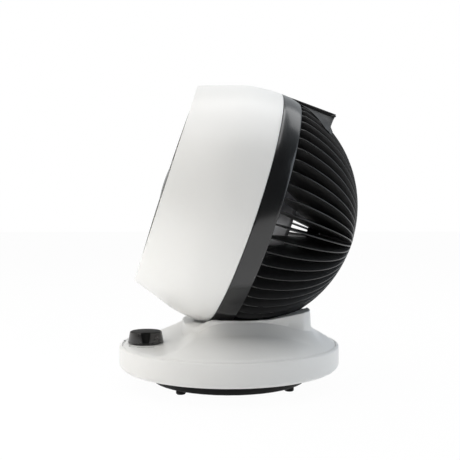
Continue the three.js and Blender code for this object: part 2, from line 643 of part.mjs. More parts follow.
function rearGrille() {
  const spigot = BELLY_RADIUS - WALL - FIT_GAP;
  const edge = domeRadius(BAND_WIDTH) + FIT_GAP;
  const bulge = (BELLY_RADIUS + edge) / 2 + 0.4;
  const band = turned([
    [BELLY_RADIUS, 0], [bulge, BAND_WIDTH / 2], [edge, BAND_WIDTH], [edge - WALL - 2, BAND_WIDTH],
    [Math.min(spigot, bulge - 2) - 2, BAND_WIDTH / 2], [spigot - 2, -SHELL_LAP],
    [spigot - 0.6, -SHELL_LAP], [spigot, 0],
  ]);
  const hub = turned([
    [0, HUB_FRONT], [HUB_RADIUS, HUB_FRONT], [HUB_RADIUS, domeAlong(HUB_RADIUS) + 0.4],
    [HUB_RADIUS * 0.5, domeAlong(HUB_RADIUS * 0.5) + 0.2], [0, DOME_DEPTH],
  ], 30);
  const hubHollow = turned([[0, HUB_FRONT - 1], [HUB_RADIUS - WALL, HUB_FRONT - 1],
    [HUB_RADIUS - WALL, domeAlong(HUB_RADIUS) - WALL - 3], [0, DOME_DEPTH - WALL - 3]], 30);
  const fins = Array.from({ length: FIN_COUNT }, (_, i) => (
    fin().rotate([0, FIN_PHASE - 90 + 360 * i / FIN_COUNT, 0])
  ));
  const shoeFrom = TILT_RANGE[0] + POST_ANGLE - SHOE_ARC / 2;
  const shoeTo = TILT_RANGE[1] + POST_ANGLE + SHOE_ARC / 2;
  const track = bentSlab(TRACK_INNER, TRACK_OUTER, shoeFrom - 3, shoeTo + 3, TRACK_HALF_WIDTH);
  const cavity = bentSlab(TRACK_CAVITY[0], TRACK_CAVITY[1], shoeFrom - 1, shoeTo + 1, TRACK_CAVITY_HALF);
  const slit = bentSlab(TRACK_CAVITY[0] + 1, DOME_RADIUS + 6, shoeFrom - 1, shoeTo + 1, TRACK_SLIT_HALF);
  const body = joined([band, hub, ...fins, track, carryingLip()]);
  return cutBy(body, [hubHollow, cavity, slit]);
}

// ---- Tilt post and shoe ----
// Radius of the post's saddle about the tilt axis, under the cradle's wall.
function saddleRadius() {
  const forward = rad(POST_ANGLE - SHOE_ARC / 2);
  const reach = sweptReach(new THREE.Vector3(0, Math.sin(forward), -Math.cos(forward)));
  return reach + CRADLE_CLEARANCE + WALL + 2 * FIT_GAP;
}

function tiltShoe() {
  const half = SHOE_ARC / 2;
  const arc = [POST_ANGLE - half, POST_ANGLE + half];
  const head = bentSlab(
    TRACK_CAVITY[0] + SHOE_GAP, TRACK_CAVITY[1] - SHOE_GAP, ...arc, TRACK_CAVITY_HALF - SHOE_GAP, 3,
  );
  const stem = bentSlab(TRACK_CAVITY[1] - 1.5, saddleRadius() - FIT_GAP, ...arc, TRACK_SLIT_HALF - SHOE_GAP, 3);
  return head.add(stem).translate([0, HEAD_SETBACK, HEAD_HEIGHT]);
}

function tiltPost() {
  const top = saddleRadius();
  const setback = HEAD_SETBACK + top * Math.sin(rad(POST_ANGLE));
  const low = WALL + FIT_GAP;
  const high = HEAD_HEIGHT - top * Math.cos(rad(POST_ANGLE)) + POST_HORNS;
  const column = block([POST_SIZE[0], POST_SIZE[1], high - low], [0, setback, (high + low) / 2]);
  const saddle = bentSlab(TRACK_INNER, top, POST_ANGLE - 12, POST_ANGLE + 12, POST_SIZE[0]);
  return column.subtract(saddle.translate([0, HEAD_SETBACK, HEAD_HEIGHT]));
}

// ---- Front grille ----
function frontGrille() {
  const outer = MOUTH_RADIUS - WALL - FIT_GAP;
  const face = (radius) => -FRONT_DEPTH - GRILLE_BULGE * (1 - (radius / outer) ** 2) + 1;
  const rim = turned(ringAbout(outer - GRILLE_RIM_WIDTH, outer, face(outer), face(outer) + GRILLE_DEPTH));
  const middle = face(0);
  const capRim = turned(
    ringAbout(GRILLE_CAP_RADIUS - 4, GRILLE_CAP_RADIUS, middle + 2, middle + GRILLE_DEPTH), 30,
  );
  const vane = () => {
    const steps = 3;
    const rings = [];
    for (let i = 0; i <= steps; i += 1) {
      const t = i / steps;
      const radius = THREE.MathUtils.lerp(GRILLE_CAP_RADIUS - 2, outer - 2, t);
      const turn = rad(GRILLE_SWEEP * t);
      const lead = Math.atan(radius * rad(GRILLE_SWEEP) / (outer - GRILLE_CAP_RADIUS));
      const side = [Math.cos(turn + lead + Math.PI / 2), Math.sin(turn + lead + Math.PI / 2)];
      const centre = [radius * Math.cos(turn), radius * Math.sin(turn)];
      const corner = (across, along) => (
        new THREE.Vector3(centre[0] + side[0] * across, along, centre[1] + side[1] * across)
      );
      const half = FIN_THICKNESS / 2;
      const front = i === 0 ? face(0) + 2.3 : face(radius);
      const rear = face(radius) + GRILLE_DEPTH - 1;
      rings.push([corner(-half, front), corner(half, front), corner(half, rear), corner(-half, rear)]);
    }
    return skin(rings);
  };
  const vanes = Array.from({ length: GRILLE_VANES }, (_, i) => vane().rotate([0, 360 * i / GRILLE_VANES, 0]));
  return joined([rim, capRim, ...vanes]);
}

function grilleCap() {
  const low = -FRONT_DEPTH - GRILLE_BULGE + 1;
  return turned([[0, low - 1], [GRILLE_CAP_RADIUS * 0.6, low - 0.6], [GRILLE_CAP_RADIUS, low + 1.2],
    [GRILLE_CAP_RADIUS, low + 2 - FIT_GAP], [GRILLE_CAP_RADIUS - 4 - FIT_GAP, low + 2 - FIT_GAP],
    [GRILLE_CAP_RADIUS - 4 - FIT_GAP, low + 6], [GRILLE_CAP_RADIUS - 4 - WALL, low + 6],
    [GRILLE_CAP_RADIUS - 4 - WALL, low + 2.2], [0, low + 2.2]], 30);
}

function airDuct() {
  const front = -FRONT_DEPTH + GRILLE_DEPTH + 1 + FIT_GAP;
  const lip = MOUTH_RADIUS + CONE_SLOPE * (GRILLE_DEPTH + 2) - WALL - FIT_GAP;
  return turned([
    [DUCT_RADIUS, front], [lip - 0.6, front], [lip, front + WALL], [DUCT_RADIUS + WALL, front + WALL],
    [DUCT_RADIUS + WALL, DUCT_REAR], [DUCT_RADIUS, DUCT_REAR],
  ]);
}

// ---- Blade ----
function fanBlade() {
  const face = BLADE_FRONT + BLADE_HUB_INSET;
  const floor = face + WALL + 0.5;
  const inside = BLADE_HUB_RADIUS - WALL;
  const bore = SHAFT_RADIUS + FIT_GAP;
  const bossEnd = BLADE_REAR - BLADE_HUB_INSET;
  const cup = turned([
    [BLADE_HUB_RADIUS - BLADE_HUB_ROUND, face], [BLADE_HUB_RADIUS, face + BLADE_HUB_ROUND],
    [BLADE_HUB_RADIUS, BLADE_REAR], [inside, BLADE_REAR], [inside, floor + BLADE_HUB_ROUND - 1],
    [BLADE_BOSS_RADIUS, floor], [BLADE_BOSS_RADIUS, bossEnd], [bore, bossEnd], [bore, face],
  ], 20);
  const blade = () => {
    const rings = [];
    const spans = 3;
    const chords = 3;
    for (let i = 0; i <= spans; i += 1) {
      const t = i / spans;
      const radius = THREE.MathUtils.lerp(BLADE_HUB_RADIUS - 1.5, BLADE_RADIUS, t);
      const sweep = BLADE_SWEEP * t * t;
      const spread = THREE.MathUtils.lerp(...BLADE_SPREAD, t) * (1 - 0.25 * Math.max(0, t - 0.8) / 0.2);
      const pitch = THREE.MathUtils.lerp(...BLADE_PITCH, t);
      const thickness = THREE.MathUtils.lerp(...BLADE_THICKNESS, t);
      const at = (c, offset) => {
        const angle = rad(sweep + spread * (c - 0.5));
        const camber = BLADE_CAMBER * (1 - (2 * c - 1) ** 2);
        const along = (BLADE_FRONT + BLADE_REAR) / 2 + 4 + pitch * (2 * c - 1) - camber + offset;
        return new THREE.Vector3(radius * Math.cos(angle), along, radius * Math.sin(angle));
      };
      const front = Array.from({ length: chords + 1 }, (_, k) => at(k / chords, -thickness / 2));
      const back = Array.from({ length: chords + 1 }, (_, k) => at(1 - k / chords, thickness / 2));
      rings.push([...front, ...back]);
    }
    return skin(rings);
  };
  const blades = Array.from({ length: BLADE_COUNT }, (_, i) => blade().rotate([0, 360 * i / BLADE_COUNT, 0]));
  return joined([cup, ...blades]);
}

function bladeNut() {
  const rear = BLADE_FRONT + BLADE_HUB_INSET - FIT_GAP;
  const end = SHAFT_FRONT - FIT_GAP;
  return turned([[0, end - WALL], [NUT_RADIUS - 2, end - WALL], [NUT_RADIUS, end], [NUT_RADIUS, rear],
    [SHAFT_RADIUS + FIT_GAP, rear], [SHAFT_RADIUS + FIT_GAP, end], [0, end]], SMALL_ROUND);
}

// ---- Motor ----
function motorBell(front) {
  const middle = (MOTOR_FRONT + MOTOR_REAR) / 2;
  const end = front ? MOTOR_FRONT : MOTOR_REAR;
  const inward = front ? 1 : -1;
  const seam = middle - inward * FIT_GAP / 2;
  const seat = BEARING_RADIUS + FIT_GAP;
  const profile = [
    [SHAFT_RADIUS + 1, end], [MOTOR_RADIUS - 6, end], [MOTOR_RADIUS, end + 6 * inward], [MOTOR_RADIUS, seam],
    [MOTOR_RADIUS - MOTOR_WALL, seam], [MOTOR_RADIUS - MOTOR_WALL, end + (6 + MOTOR_WALL) * inward],
    [MOTOR_RADIUS - 8, end + MOTOR_WALL * inward], [seat + MOTOR_WALL, end + MOTOR_WALL * inward],
    [seat + MOTOR_WALL, end + 9 * inward], [seat, end + 9 * inward], [seat, end + MOTOR_WALL * inward],
    [SHAFT_RADIUS + 1, end + MOTOR_WALL * inward],
  ];
  return turned(profile, MOTOR_ROUND);
}

function bearing(front) {
  const end = front ? MOTOR_FRONT : MOTOR_REAR;
  const inward = front ? 1 : -1;
  const start = end + (MOTOR_WALL + FIT_GAP) * inward;
  const width = BEARING_WIDTH * inward;
  return turned([[SHAFT_RADIUS + FIT_GAP, start], [BEARING_RADIUS, start], [BEARING_RADIUS, start + width],
    [SHAFT_RADIUS + FIT_GAP, start + width]], MOTOR_ROUND);
}

function stator() {
  const middle = (MOTOR_FRONT + MOTOR_REAR) / 2;
  const half = STACK_LENGTH / 2;
  const outer = MOTOR_RADIUS - MOTOR_WALL - FIT_GAP;
  return turned(ringAbout(STACK_BORE, outer, middle - half, middle + half), MOTOR_ROUND);
}

function rotorCore() {
  const middle = (MOTOR_FRONT + MOTOR_REAR) / 2;
  const half = STACK_LENGTH / 2;
  const bore = SHAFT_RADIUS + FIT_GAP;
  return turned(ringAbout(bore, STACK_BORE - AIR_GAP, middle - half, middle + half), MOTOR_ROUND);
}

function motorMount() {
  const [front, rear] = MOUNT_PLATE;
  const rimOuter = BELLY_RADIUS - WALL - FIT_GAP - 2 - FIT_GAP;
  const plate = turned(ringAbout(14, MOTOR_RADIUS, front, rear), MOTOR_ROUND);
  const rim = turned(ringAbout(rimOuter - 4, rimOuter, front - 3, rear));
  const length = rimOuter - MOTOR_RADIUS;
  const arms = Array.from({ length: MOUNT_ARMS }, (_, i) =>
    block([length, rear - front, 11], [MOTOR_RADIUS + length / 2 - 1.5, (front + rear) / 2, 0])
      .rotate([0, 90 + 360 * i / MOUNT_ARMS, 0]));
  return joined([plate, rim, ...arms]);
}

// ---- Assembly ----
const fan = new THREE.Group();
const base = new THREE.Group();
base.position.set(0, BASE_AXIS_Y, FOOT_STAND);
fan.add(base);
const head = new THREE.Group();
head.position.set(0, HEAD_SETBACK, HEAD_HEIGHT);
head.rotation.x = -rad(HEAD_TILT);
base.add(head);

piece('base_plate', basePlate(), BLACK, base);
piece('base_tub', baseTub(), WHITE, base);
piece('pedestal_cover', pedestalCover(), WHITE, base);
around(4, FOOT_CIRCLE, 45, (at, i) => piece(`foot_${i + 1}`, foot(), RUBBER, base).position.set(...at));
around(4, SCREW_CIRCLE, 0, (at, i) => (
  piece(`base_screw_${i + 1}`, baseScrew(), STEEL, base).position.set(...at)
));
piece('cord_gland', cordGland(), RUBBER, base).position.z = GLAND_HEIGHT;
piece('motor_capacitor', motorCapacitor(), BLACK, base);
piece('terminal_block', terminalBlock(), NATURAL, base);
piece('tilt_post', tiltPost(), BLACK, base);
piece('tilt_shoe', tiltShoe(), NATURAL, base);
piece('rotary_switch', rotarySwitch(), SMOKE, base).position.set(0, -KNOB_SETOUT, 0);
piece('switch_spindle', switchSpindle(), STEEL, base).position.set(0, -KNOB_SETOUT, 0);
piece('control_knob', controlKnob(), SMOKE, base).position.set(0, -KNOB_SETOUT, 0);

piece('front_shell', frontShell(), WHITE, head);
piece('front_grille', frontGrille(), BLACK, head);
piece('grille_cap', grilleCap(), SATIN, head);
piece('air_duct', airDuct(), BLACK, head);
piece('rear_grille', rearGrille(), BLACK, head);
piece('motor_mount', motorMount(), BLACK, head);
piece('motor_front_bell', motorBell(true), IRON, head);
piece('motor_rear_bell', motorBell(false), IRON, head);
piece('stator', stator(), COPPER, head);
piece('front_bearing', bearing(true), STEEL, head);
piece('rear_bearing', bearing(false), STEEL, head);
piece('rotor_core', rotorCore(), IRON, head);
piece('motor_shaft', turned(disc(SHAFT_RADIUS, SHAFT_FRONT, MOTOR_REAR - 3), MOTOR_ROUND), STEEL, head);
piece('fan_blade', fanBlade(), SMOKE, head);
piece('blade_nut', bladeNut(), BLACK, head);

export default fan;
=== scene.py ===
"""Finishes and fine surfaces of a table air circulator fan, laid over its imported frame."""
import json
import math

import bpy
from bpy.props import FloatProperty, FloatVectorProperty, IntProperty, PointerProperty
from bpy.types import Operator, Panel, PropertyGroup
from mathutils import Matrix, Vector


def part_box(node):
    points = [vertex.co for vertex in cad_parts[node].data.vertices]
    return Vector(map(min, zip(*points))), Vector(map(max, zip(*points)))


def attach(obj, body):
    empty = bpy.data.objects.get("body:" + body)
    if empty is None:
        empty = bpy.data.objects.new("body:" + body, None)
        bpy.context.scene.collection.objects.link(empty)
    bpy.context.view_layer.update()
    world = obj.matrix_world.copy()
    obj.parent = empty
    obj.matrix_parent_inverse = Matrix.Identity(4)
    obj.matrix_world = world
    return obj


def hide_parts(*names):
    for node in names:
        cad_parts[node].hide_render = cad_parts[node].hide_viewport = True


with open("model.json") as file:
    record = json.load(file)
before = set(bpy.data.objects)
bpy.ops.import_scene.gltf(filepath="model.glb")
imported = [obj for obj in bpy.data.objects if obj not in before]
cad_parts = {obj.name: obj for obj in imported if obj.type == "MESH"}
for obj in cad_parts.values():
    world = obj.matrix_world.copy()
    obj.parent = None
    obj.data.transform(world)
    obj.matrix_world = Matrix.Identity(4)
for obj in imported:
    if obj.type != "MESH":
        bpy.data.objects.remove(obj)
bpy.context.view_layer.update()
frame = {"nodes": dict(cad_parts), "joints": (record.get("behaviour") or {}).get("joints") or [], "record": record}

bl_info = {
    "name": "Air Circulator Fan",
    "version": (1, 0, 0),
    "blender": (4, 5, 0),
    "location": "View3D > Sidebar > Fan",
    "description": "Models the fine surfaces and finishes of a table air circulator fan",
    "category": "Object",
}

JOINTS = {joint["name"]: joint for joint in frame["joints"]}
PLATE_LOW, PLATE_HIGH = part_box("base_plate")

# Base pieces are drawn about the base axis, with z = 0 at the underside of the base plate.
BASE = Matrix.Translation(((PLATE_LOW.x + PLATE_HIGH.x) / 2, (PLATE_LOW.y + PLATE_HIGH.y) / 2, PLATE_LOW.z))

# Head pieces are drawn about Z, the head's rear axis, from the tilt centre. Their -Y points up the head.
TILT_CENTRE = Vector(JOINTS["head_tilt"]["pos_m"])
REAR_AXIS = Vector(JOINTS["fan_spin"]["axis"]).normalized()
ACROSS = Vector((1, 0, 0))
HEAD_TURN = Matrix((ACROSS, REAR_AXIS.cross(ACROSS), REAR_AXIS)).transposed().to_4x4()
HEAD = Matrix.Translation(TILT_CENTRE) @ HEAD_TURN
KNOB_AXIS = Vector(JOINTS["knob_turn"]["pos_m"]) - BASE.to_translation()

FINE_ROUND = 160                # steps round a large turned piece
SMALL_ROUND = 72
AXIS_RADIUS = 1e-6              # a ring this small stands for a point on the axis
MERGE = 1e-5


# ---- Sizes and colours that a user would change ----
def length(name, default, description):
    return FloatProperty(name=name, default=default, description=description, unit="LENGTH", precision=5)


def angle(name, default, description):
    return FloatProperty(name=name, default=math.radians(default), description=description, unit="ROTATION")


def number(name, default, description):
    return FloatProperty(name=name, default=default, description=description)


def colour(name, default, description):
    return FloatVectorProperty(name=name, default=default, description=description, subtype="COLOR",
                               size=3, min=0, max=1)


class FanHeadSizes(PropertyGroup):
    """Sizes of the head, along its axis from the seam of shell and rear grille"""
    wall: length("Wall", 0.0025, "Thickness of the moulded walls")
    gap: length("Gap", 0.0003, "Gap between pieces that touch")
    belly_radius: length("Belly radius", 0.13155, "Largest radius of the front shell")
    mouth_radius: length("Mouth radius", 0.1107, "Radius of the front shell's open end")
    front_depth: length("Front depth", 0.08735, "Length of the front shell")
    cone_length: length("Cone length", 0.0423, "Straight part of the front shell's side")
    cone_slope: number("Cone slope", 0.354, "Growth in radius along the straight part")
    edge_round: length("Edge round", 0.0008, "Rounding of the moulded edges")
    band_width: length("Band width", 0.020, "Width of the smooth black band")
    lap: length("Lap", 0.008, "Length of the band's spigot inside the shell")
    dome_radius: length("Dome radius", 0.1303, "Radius of the rear grille's outline across the head")
    dome_depth: length("Dome depth", 0.1266, "Depth of the rear grille's outline along the head")
    fin_count: IntProperty(name="Fins", default=60, description="Number of fins round the rear grille")
    fin_phase: angle("Fin phase", 0, "Angle of the first fin from the top of the head")
    fin_thickness: length("Fin thickness", 0.0012, "Thickness of a fin")
    fin_sill: length("Fin sill", 0.116, "Radius where the fins' inner edges leave the band")
    fin_root: length("Fin root", 0.0015, "Depth of the fins' ends in the band and the hub")
    hub_radius: length("Hub radius", 0.031, "Radius of the rear hub")
    hub_front: length("Hub front", 0.086, "Place of the rear hub's front face")
    lip_length: length("Lip length", 0.062, "Reach of the carrying lip behind the seam")
    lip_crest: length("Lip crest", 0.1314, "Radius of the lip's deck at the seam")
    lip_end_radius: length("Lip end radius", 0.1304, "Radius of the lip's deck at its rear edge")
    lip_half_angle: angle("Lip half angle", 15.3, "Half width of the lip's full deck")
    lip_flare_angle: angle("Lip flare angle", 33, "Half width of the lip with its flanks")
    lip_flank_start: length("Lip flank start", 0.050, "Place where the flanks' upper edges end")
    lip_flank_end: length("Lip flank end", 0.055, "Place where the flanks' rear edges end")
    lip_bead: length("Lip bead", 0.0018, "Rounding along the deck's sides")
    lip_groove: length("Lip groove", 0.0012, "Width of the groove under that rounding")
    lip_hollow: length("Lip hollow", 0.006, "Depth of the hollow in the lip's rear face")
    lip_foot: length("Lip foot", 0.0035, "Reach of the rear face's foot behind the deck")
    track_outer: length("Track outer", 0.126, "Outer radius of the tilt track")
    track_inner: length("Track inner", 0.1175, "Inner radius of the tilt track")
    track_half: length("Track half width", 0.013, "Half width of the tilt track")
    cavity_inner: length("Cavity inner", 0.1194, "Inner radius of the track's cavity")
    cavity_outer: length("Cavity outer", 0.1236, "Outer radius of the track's cavity")
    cavity_half: length("Cavity half width", 0.0085, "Half width of the track's cavity")
    slit_half: length("Slit half width", 0.0046, "Half width of the track's slit")
    track_start: angle("Track start", 5.5, "Start of the track behind the head's underside")
    track_end: angle("Track end", 108.5, "End of the track behind the head's underside")


class FanFrontSizes(PropertyGroup):
    """Sizes of the front grille and the blades"""
    rim_width: length("Rim width", 0.0055, "Width of the front grille's rim")
    vane_count: IntProperty(name="Vanes", default=27, description="Number of vanes in the front grille")
    vane_sweep: angle("Vane sweep", 38, "Turn of a vane from the cap to the rim")
    grille_depth: length("Grille depth", 0.008, "Depth of the front grille")
    grille_bulge: length("Grille bulge", 0.0026, "Bulge of the front grille at its middle")
    cap_radius: length("Cap radius", 0.024, "Radius of the front grille's cap")
    blade_count: IntProperty(name="Blades", default=5, description="Number of blades")
    blade_radius: length("Blade radius", 0.098, "Radius of the blades' tips")
    blade_hub: length("Blade hub", 0.027, "Radius of the blades' hub")
    blade_front: length("Blade front", -0.062, "Place of the blades' front reach")
    blade_rear: length("Blade rear", -0.018, "Place of the hub's open rear edge")
    shaft_hole: length("Shaft hole", 0.0043, "Radius of the hub's shaft hole")


class FanBaseSizes(PropertyGroup):
    """Sizes of the base and pedestal, above the underside of the base plate"""
    wall: length("Wall", 0.0025, "Thickness of the moulded walls")
    gap: length("Gap", 0.0003, "Gap between pieces that touch")
    radius: length("Base radius", 0.120, "Radius of the base tub")
    floor: length("Tub floor", 0.0137, "Height of the base tub's underside")
    edge_round: length("Lower round", 0.0065, "Rounding of the tub's lower edge")
    top_round: length("Upper round", 0.0026, "Rounding of the tub's upper edge")
    opening: length("Tub opening", 0.058, "Radius of the hole in the tub's floor")
    deck: length("Deck height", 0.03865, "Height of the seam round the deck")
    seam: length("Seam radius", 0.1165, "Radius of the seam round the deck")
    ledge: length("Ledge", 0.005, "Width of the ledge that carries the cover")
    dome_slope: number("Dome slope", 0.70, "Rise of the domed top at the seam")
    dome_bend: number("Dome bend", 5.0, "Fall of that rise towards the middle, per metre")
    shoulder: length("Shoulder", 0.0012, "Rounding of the neck's rim")
    draft: number("Draft", 0.06, "Lean of the neck's wall")
    side_fillet: length("Side fillet", 0.008, "Height of the fillet at the neck's foot, at the sides")
    rear_fillet: length("Rear fillet", 0.008, "Height of the fillet at the neck's foot, at the rear")
    side_reach: length("Side reach", 0.013, "Width of that fillet at the sides")
    rear_reach: length("Rear reach", 0.015, "Width of that fillet at the rear")
    valley_depth: length("Valley depth", 0.004, "Depth of the hollow beside the cradle's front tongue")
    valley_round: length("Valley round", 0.008, "Rounding of the rim in that hollow")
    scoop_width: length("Scoop width", 0.070, "Half width of the level floor round the knob")
    scoop_back: length("Scoop back", -0.0805, "Rear edge of the level floor round the knob")
    scoop_curve: length("Scoop curve", 0.045, "Radius of the slope that rises from that floor")
    scoop_steepest: angle("Scoop steepest", 60, "Steepest part of that slope")
    ridge_blend: length("Ridge blend", 0.005, "Softness of the ridge round the scoop")
    cradle_gap: length("Cradle gap", 0.001, "Gap between head and cradle")
    knob_foot: length("Knob foot", 0.01925, "Radius of the knob's foot")
    knob_top: length("Knob top", 0.0174, "Radius of the knob's top")
    knob_height: length("Knob height", 0.0115, "Height of the knob's side")
    knob_crown: length("Knob crown", 0.0015, "Rise of the knob's crowned top")
    knob_lift: length("Knob lift", 0.0016, "Gap between deck and knob")
    knob_notch: length("Knob notch", 0.0108, "Width of the knob's pointer notch at the top")
    knob_notch_foot: length("Knob notch foot", 0.0064, "Width of that notch at its foot")


class FanFinishes(PropertyGroup):
    """Colours of the finishes"""
    white: colour("White", (0.86, 0.86, 0.85), "Glossy white moulding")
    black: colour("Black", (0.0060, 0.0061, 0.0065), "Satin black moulding")
    # The two fin colours are one black moulding in two tones set for the light: the sides are lightened as painted
    # light, and the edges are darker to temper their highlight line.
    fin_side: colour("Fin side", (0.030, 0.030, 0.0305), "Dull sides of the fins, lightened as painted light")
    fin_edge: colour("Fin edge", (0.009, 0.0092, 0.0095), "Polished outer edge of a fin, toned to temper its highlight line")
    matt_black: colour("Matt black", (0.0065, 0.0065, 0.0065), "Matt black moulding")
    charcoal: colour("Charcoal", (0.022, 0.021, 0.021), "Satin charcoal of the knob")
    blade: colour("Blade", (0.045, 0.046, 0.05), "Smoky blades")
    nylon: colour("Nylon", (0.66, 0.64, 0.56), "Natural nylon")
    rubber: colour("Rubber", (0.02, 0.02, 0.02), "Rubber feet")
    steel: colour("Steel", (0.56, 0.56, 0.57), "Ground and plated steel")
    casting: colour("Casting", (0.48, 0.48, 0.49), "Die-cast motor bells")
    iron: colour("Iron", (0.16, 0.155, 0.15), "Laminated iron")
    copper: colour("Copper", (0.55, 0.26, 0.12), "Enamelled windings")
    ink: colour("Ink", (0.03, 0.03, 0.032), "Printed dial marks")


# ---- Modelling, as by hand ----
def unselect():
    """Return to object mode with nothing selected."""
    if bpy.context.mode != "OBJECT":
        bpy.ops.object.mode_set(mode="OBJECT")
    bpy.ops.object.select_all(action="DESELECT")


def only(piece):
    """Select one piece and make it active."""
    unselect()
    piece.select_set(True)
    bpy.context.view_layer.objects.active = piece
    return piece


def named(name):
    """Name the piece that was just added."""
    piece = bpy.context.active_object
    piece.name = name
    piece.data.name = name
    return piece


def settle(piece, place=None):
    """Move a piece to its place and apply it to the mesh."""
    only(piece)
    if place is not None:
        piece.matrix_world = place @ piece.matrix_world
    bpy.ops.object.transform_apply(location=True, rotation=True, scale=True)
    return piece


def close_up(piece, orient=True):
    """Merge seams and poles, and turn every face outwards unless the faces are right already."""
    only(piece)
    bpy.ops.object.mode_set(mode="EDIT")
    bpy.ops.mesh.select_all(action="SELECT")
    bpy.ops.mesh.remove_doubles(threshold=MERGE)
    if orient:
        bpy.ops.mesh.normals_make_consistent(inside=False)
    unselect()
    return piece


def turned(name, profile, steps=FINE_ROUND):
    """Turn a profile of (radius, height) points about Z, by extruding and resizing one ring."""
    unselect()
    points = [(max(radius, AXIS_RADIUS), height) for radius, height in profile]
    radius, height = points[0]
    bpy.ops.mesh.primitive_circle_add(vertices=steps, radius=radius, location=(0, 0, height))
    piece = settle(named(name))
    bpy.ops.object.mode_set(mode="EDIT")
    bpy.ops.mesh.select_mode(type="EDGE")
    bpy.ops.mesh.select_all(action="SELECT")
    for next_radius, next_height in points[1:]:
        bpy.ops.mesh.extrude_edges_move(TRANSFORM_OT_translate={"value": (0, 0, next_height - height)})
        growth = next_radius / radius
        bpy.ops.transform.resize(value=(growth, growth, 1), center_override=(0, 0, next_height))
        radius, height = next_radius, next_height
    return close_up(piece)


def hoop(name, inner, outer, low, high, steps=FINE_ROUND):
    """A turned ring with a square section."""
    return turned(name, [(inner, low), (outer, low), (outer, high), (inner, high), (inner, low)], steps)


def surface(name, columns, rows, place):
    """Bend a grid into the surface that place(u, v) gives, for u and v from 0 to 1."""
    unselect()
    bpy.ops.mesh.primitive_grid_add(x_subdivisions=columns, y_subdivisions=rows, size=1)
    piece = settle(named(name))
    for vertex in piece.data.vertices:
        row, column = divmod(vertex.index, columns + 1)
        vertex.co = place(column / columns, row / rows)
    return close_up(piece)


def shaped(piece, kind, **settings):
    """Add a modifier to a piece and apply it."""
    only(piece)
    bpy.ops.object.modifier_add(type=kind)
    modifier = piece.modifiers[-1]
    for key, value in settings.items():
        setattr(modifier, key, value)
    bpy.ops.object.modifier_apply(modifier=modifier.name)
    return piece


def rounded(piece, width, segments=2, sharpest=35):
    """Round the sharp edges of a piece."""
    return shaped(piece, "BEVEL", width=width, segments=segments, limit_method="ANGLE",
                  angle_limit=math.radians(sharpest), use_clamp_overlap=True)


def cut(piece, *tools):
    """Cut tools out of a piece and delete them."""
    for tool in tools:
        shaped(piece, "BOOLEAN", operation="DIFFERENCE", solver="EXACT", object=tool)
        only(tool)
        bpy.ops.object.delete()
    return piece


def joined(name, pieces):
    """Join pieces into one mesh."""
    unselect()
    for piece in pieces:
        piece.select_set(True)
    bpy.context.view_layer.objects.active = pieces[0]
    bpy.ops.object.join()
    return named(name)


def copies(piece, count):
    """Copy a piece evenly round Z, each copy with its own mesh."""
    ring = [piece]
    for index in range(1, count):
        only(piece)
        bpy.ops.object.duplicate()
        bpy.ops.transform.rotate(value=math.tau * index / count, orient_axis="Z", center_override=(0, 0, 0))
        ring.append(settle(bpy.context.active_object))
    return ring


def block(name, size, middle):
    """A box of a given size at a given place."""
    unselect()
    bpy.ops.mesh.primitive_cube_add(size=1, location=middle, scale=size)
    return settle(named(name))


def rod(name, radius, depth, middle, turn=(0, 0, 0), steps=SMALL_ROUND):
    """A cylinder, along Z unless it is turned."""
    unselect()
    bpy.ops.mesh.primitive_cylinder_add(vertices=steps, radius=radius, depth=depth, location=middle,
                                        rotation=turn)
    return settle(named(name))


def swept_section(name, outline, start, end, steps):
    """Spin a flat outline of (across, radius) points about X, from the head's underside towards its rear."""
    unselect()
    bpy.ops.mesh.primitive_circle_add(vertices=len(outline), radius=0.01, fill_type="NGON")
    piece = settle(named(name))
    for vertex, (across, radius) in zip(piece.data.vertices, outline):
        vertex.co = (across, radius * math.cos(start), radius * math.sin(start))
    bpy.ops.object.mode_set(mode="EDIT")
    bpy.ops.mesh.select_all(action="SELECT")
    bpy.ops.mesh.spin(steps=steps, angle=start - end, center=(0, 0, 0), axis=(1, 0, 0))
    return close_up(piece)


def smooth(piece, sharpest=32):
    """Shade a piece smooth across edges below an angle."""
    only(piece)
    bpy.ops.object.shade_smooth_by_angle(angle=math.radians(sharpest))
    return piece


def coat(piece, *names):
    """Give a piece its finishes, in the order of its faces' material numbers."""
    piece.data.materials.clear()
    for name in names:
        piece.data.materials.append(finish(name))


def dress(piece, body, slot, name, *nodes):
    """Give a piece its finish, unless it has one, its body and the nodes that it stands for."""
    if name is not None:
        coat(piece, name)
    smooth(piece)
    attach(piece, body)
    if nodes:
        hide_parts(*nodes)
    return piece


def shares(count):
    """Even steps from 0 to 1."""
    return [step / count for step in range(count + 1)]


def blend(low, high, share):
    return low + (high - low) * share


def arc(centre, radius, start, end, steps):
    """Points of an arc, angles in degrees."""
    turns = [math.radians(blend(start, end, share)) for share in shares(steps)]
    return [(centre[0] + radius * math.cos(turn), centre[1] + radius * math.sin(turn)) for turn in turns]


def ease(value, low, high):
    """Smooth step from 0 at low to 1 at high."""
    share = min(1.0, max(0.0, (value - low) / (high - low)))
    return share * share * (3 - 2 * share)


# ---- Shader effects, as node groups ----
WAVE_SCALE = 22.0               # noise scales: slow waves, patches of gloss, dust and turned lines
PATCH_SCALE = 65.0
SPECK_SCALE = 420.0
LINE_SCALE = 90.0
DUST_TINT = (0.42, 0.40, 0.37, 1)
BUMP_STRENGTH = 0.6
LEAST_ROUGHNESS = 0.02


def wire(tree, node, links):
    """Give a node's sockets their values and links."""
    for socket, source in links.items():
        if hasattr(source, "is_output"):
            tree.links.new(source, node.inputs[socket])
        else:
            node.inputs[socket].default_value = source
    return node


def put(tree, kind, links=None, **settings):
    """Add a node, with its settings, socket values and links."""
    node = tree.nodes.new(kind)
    for key, value in settings.items():
        setattr(node, key, value)
    return wire(tree, node, links or {})


def calculate(tree, operation, first, second=0.0):
    """One math node's result."""
    return put(tree, "ShaderNodeMath", {0: first, 1: second}, operation=operation).outputs[0]


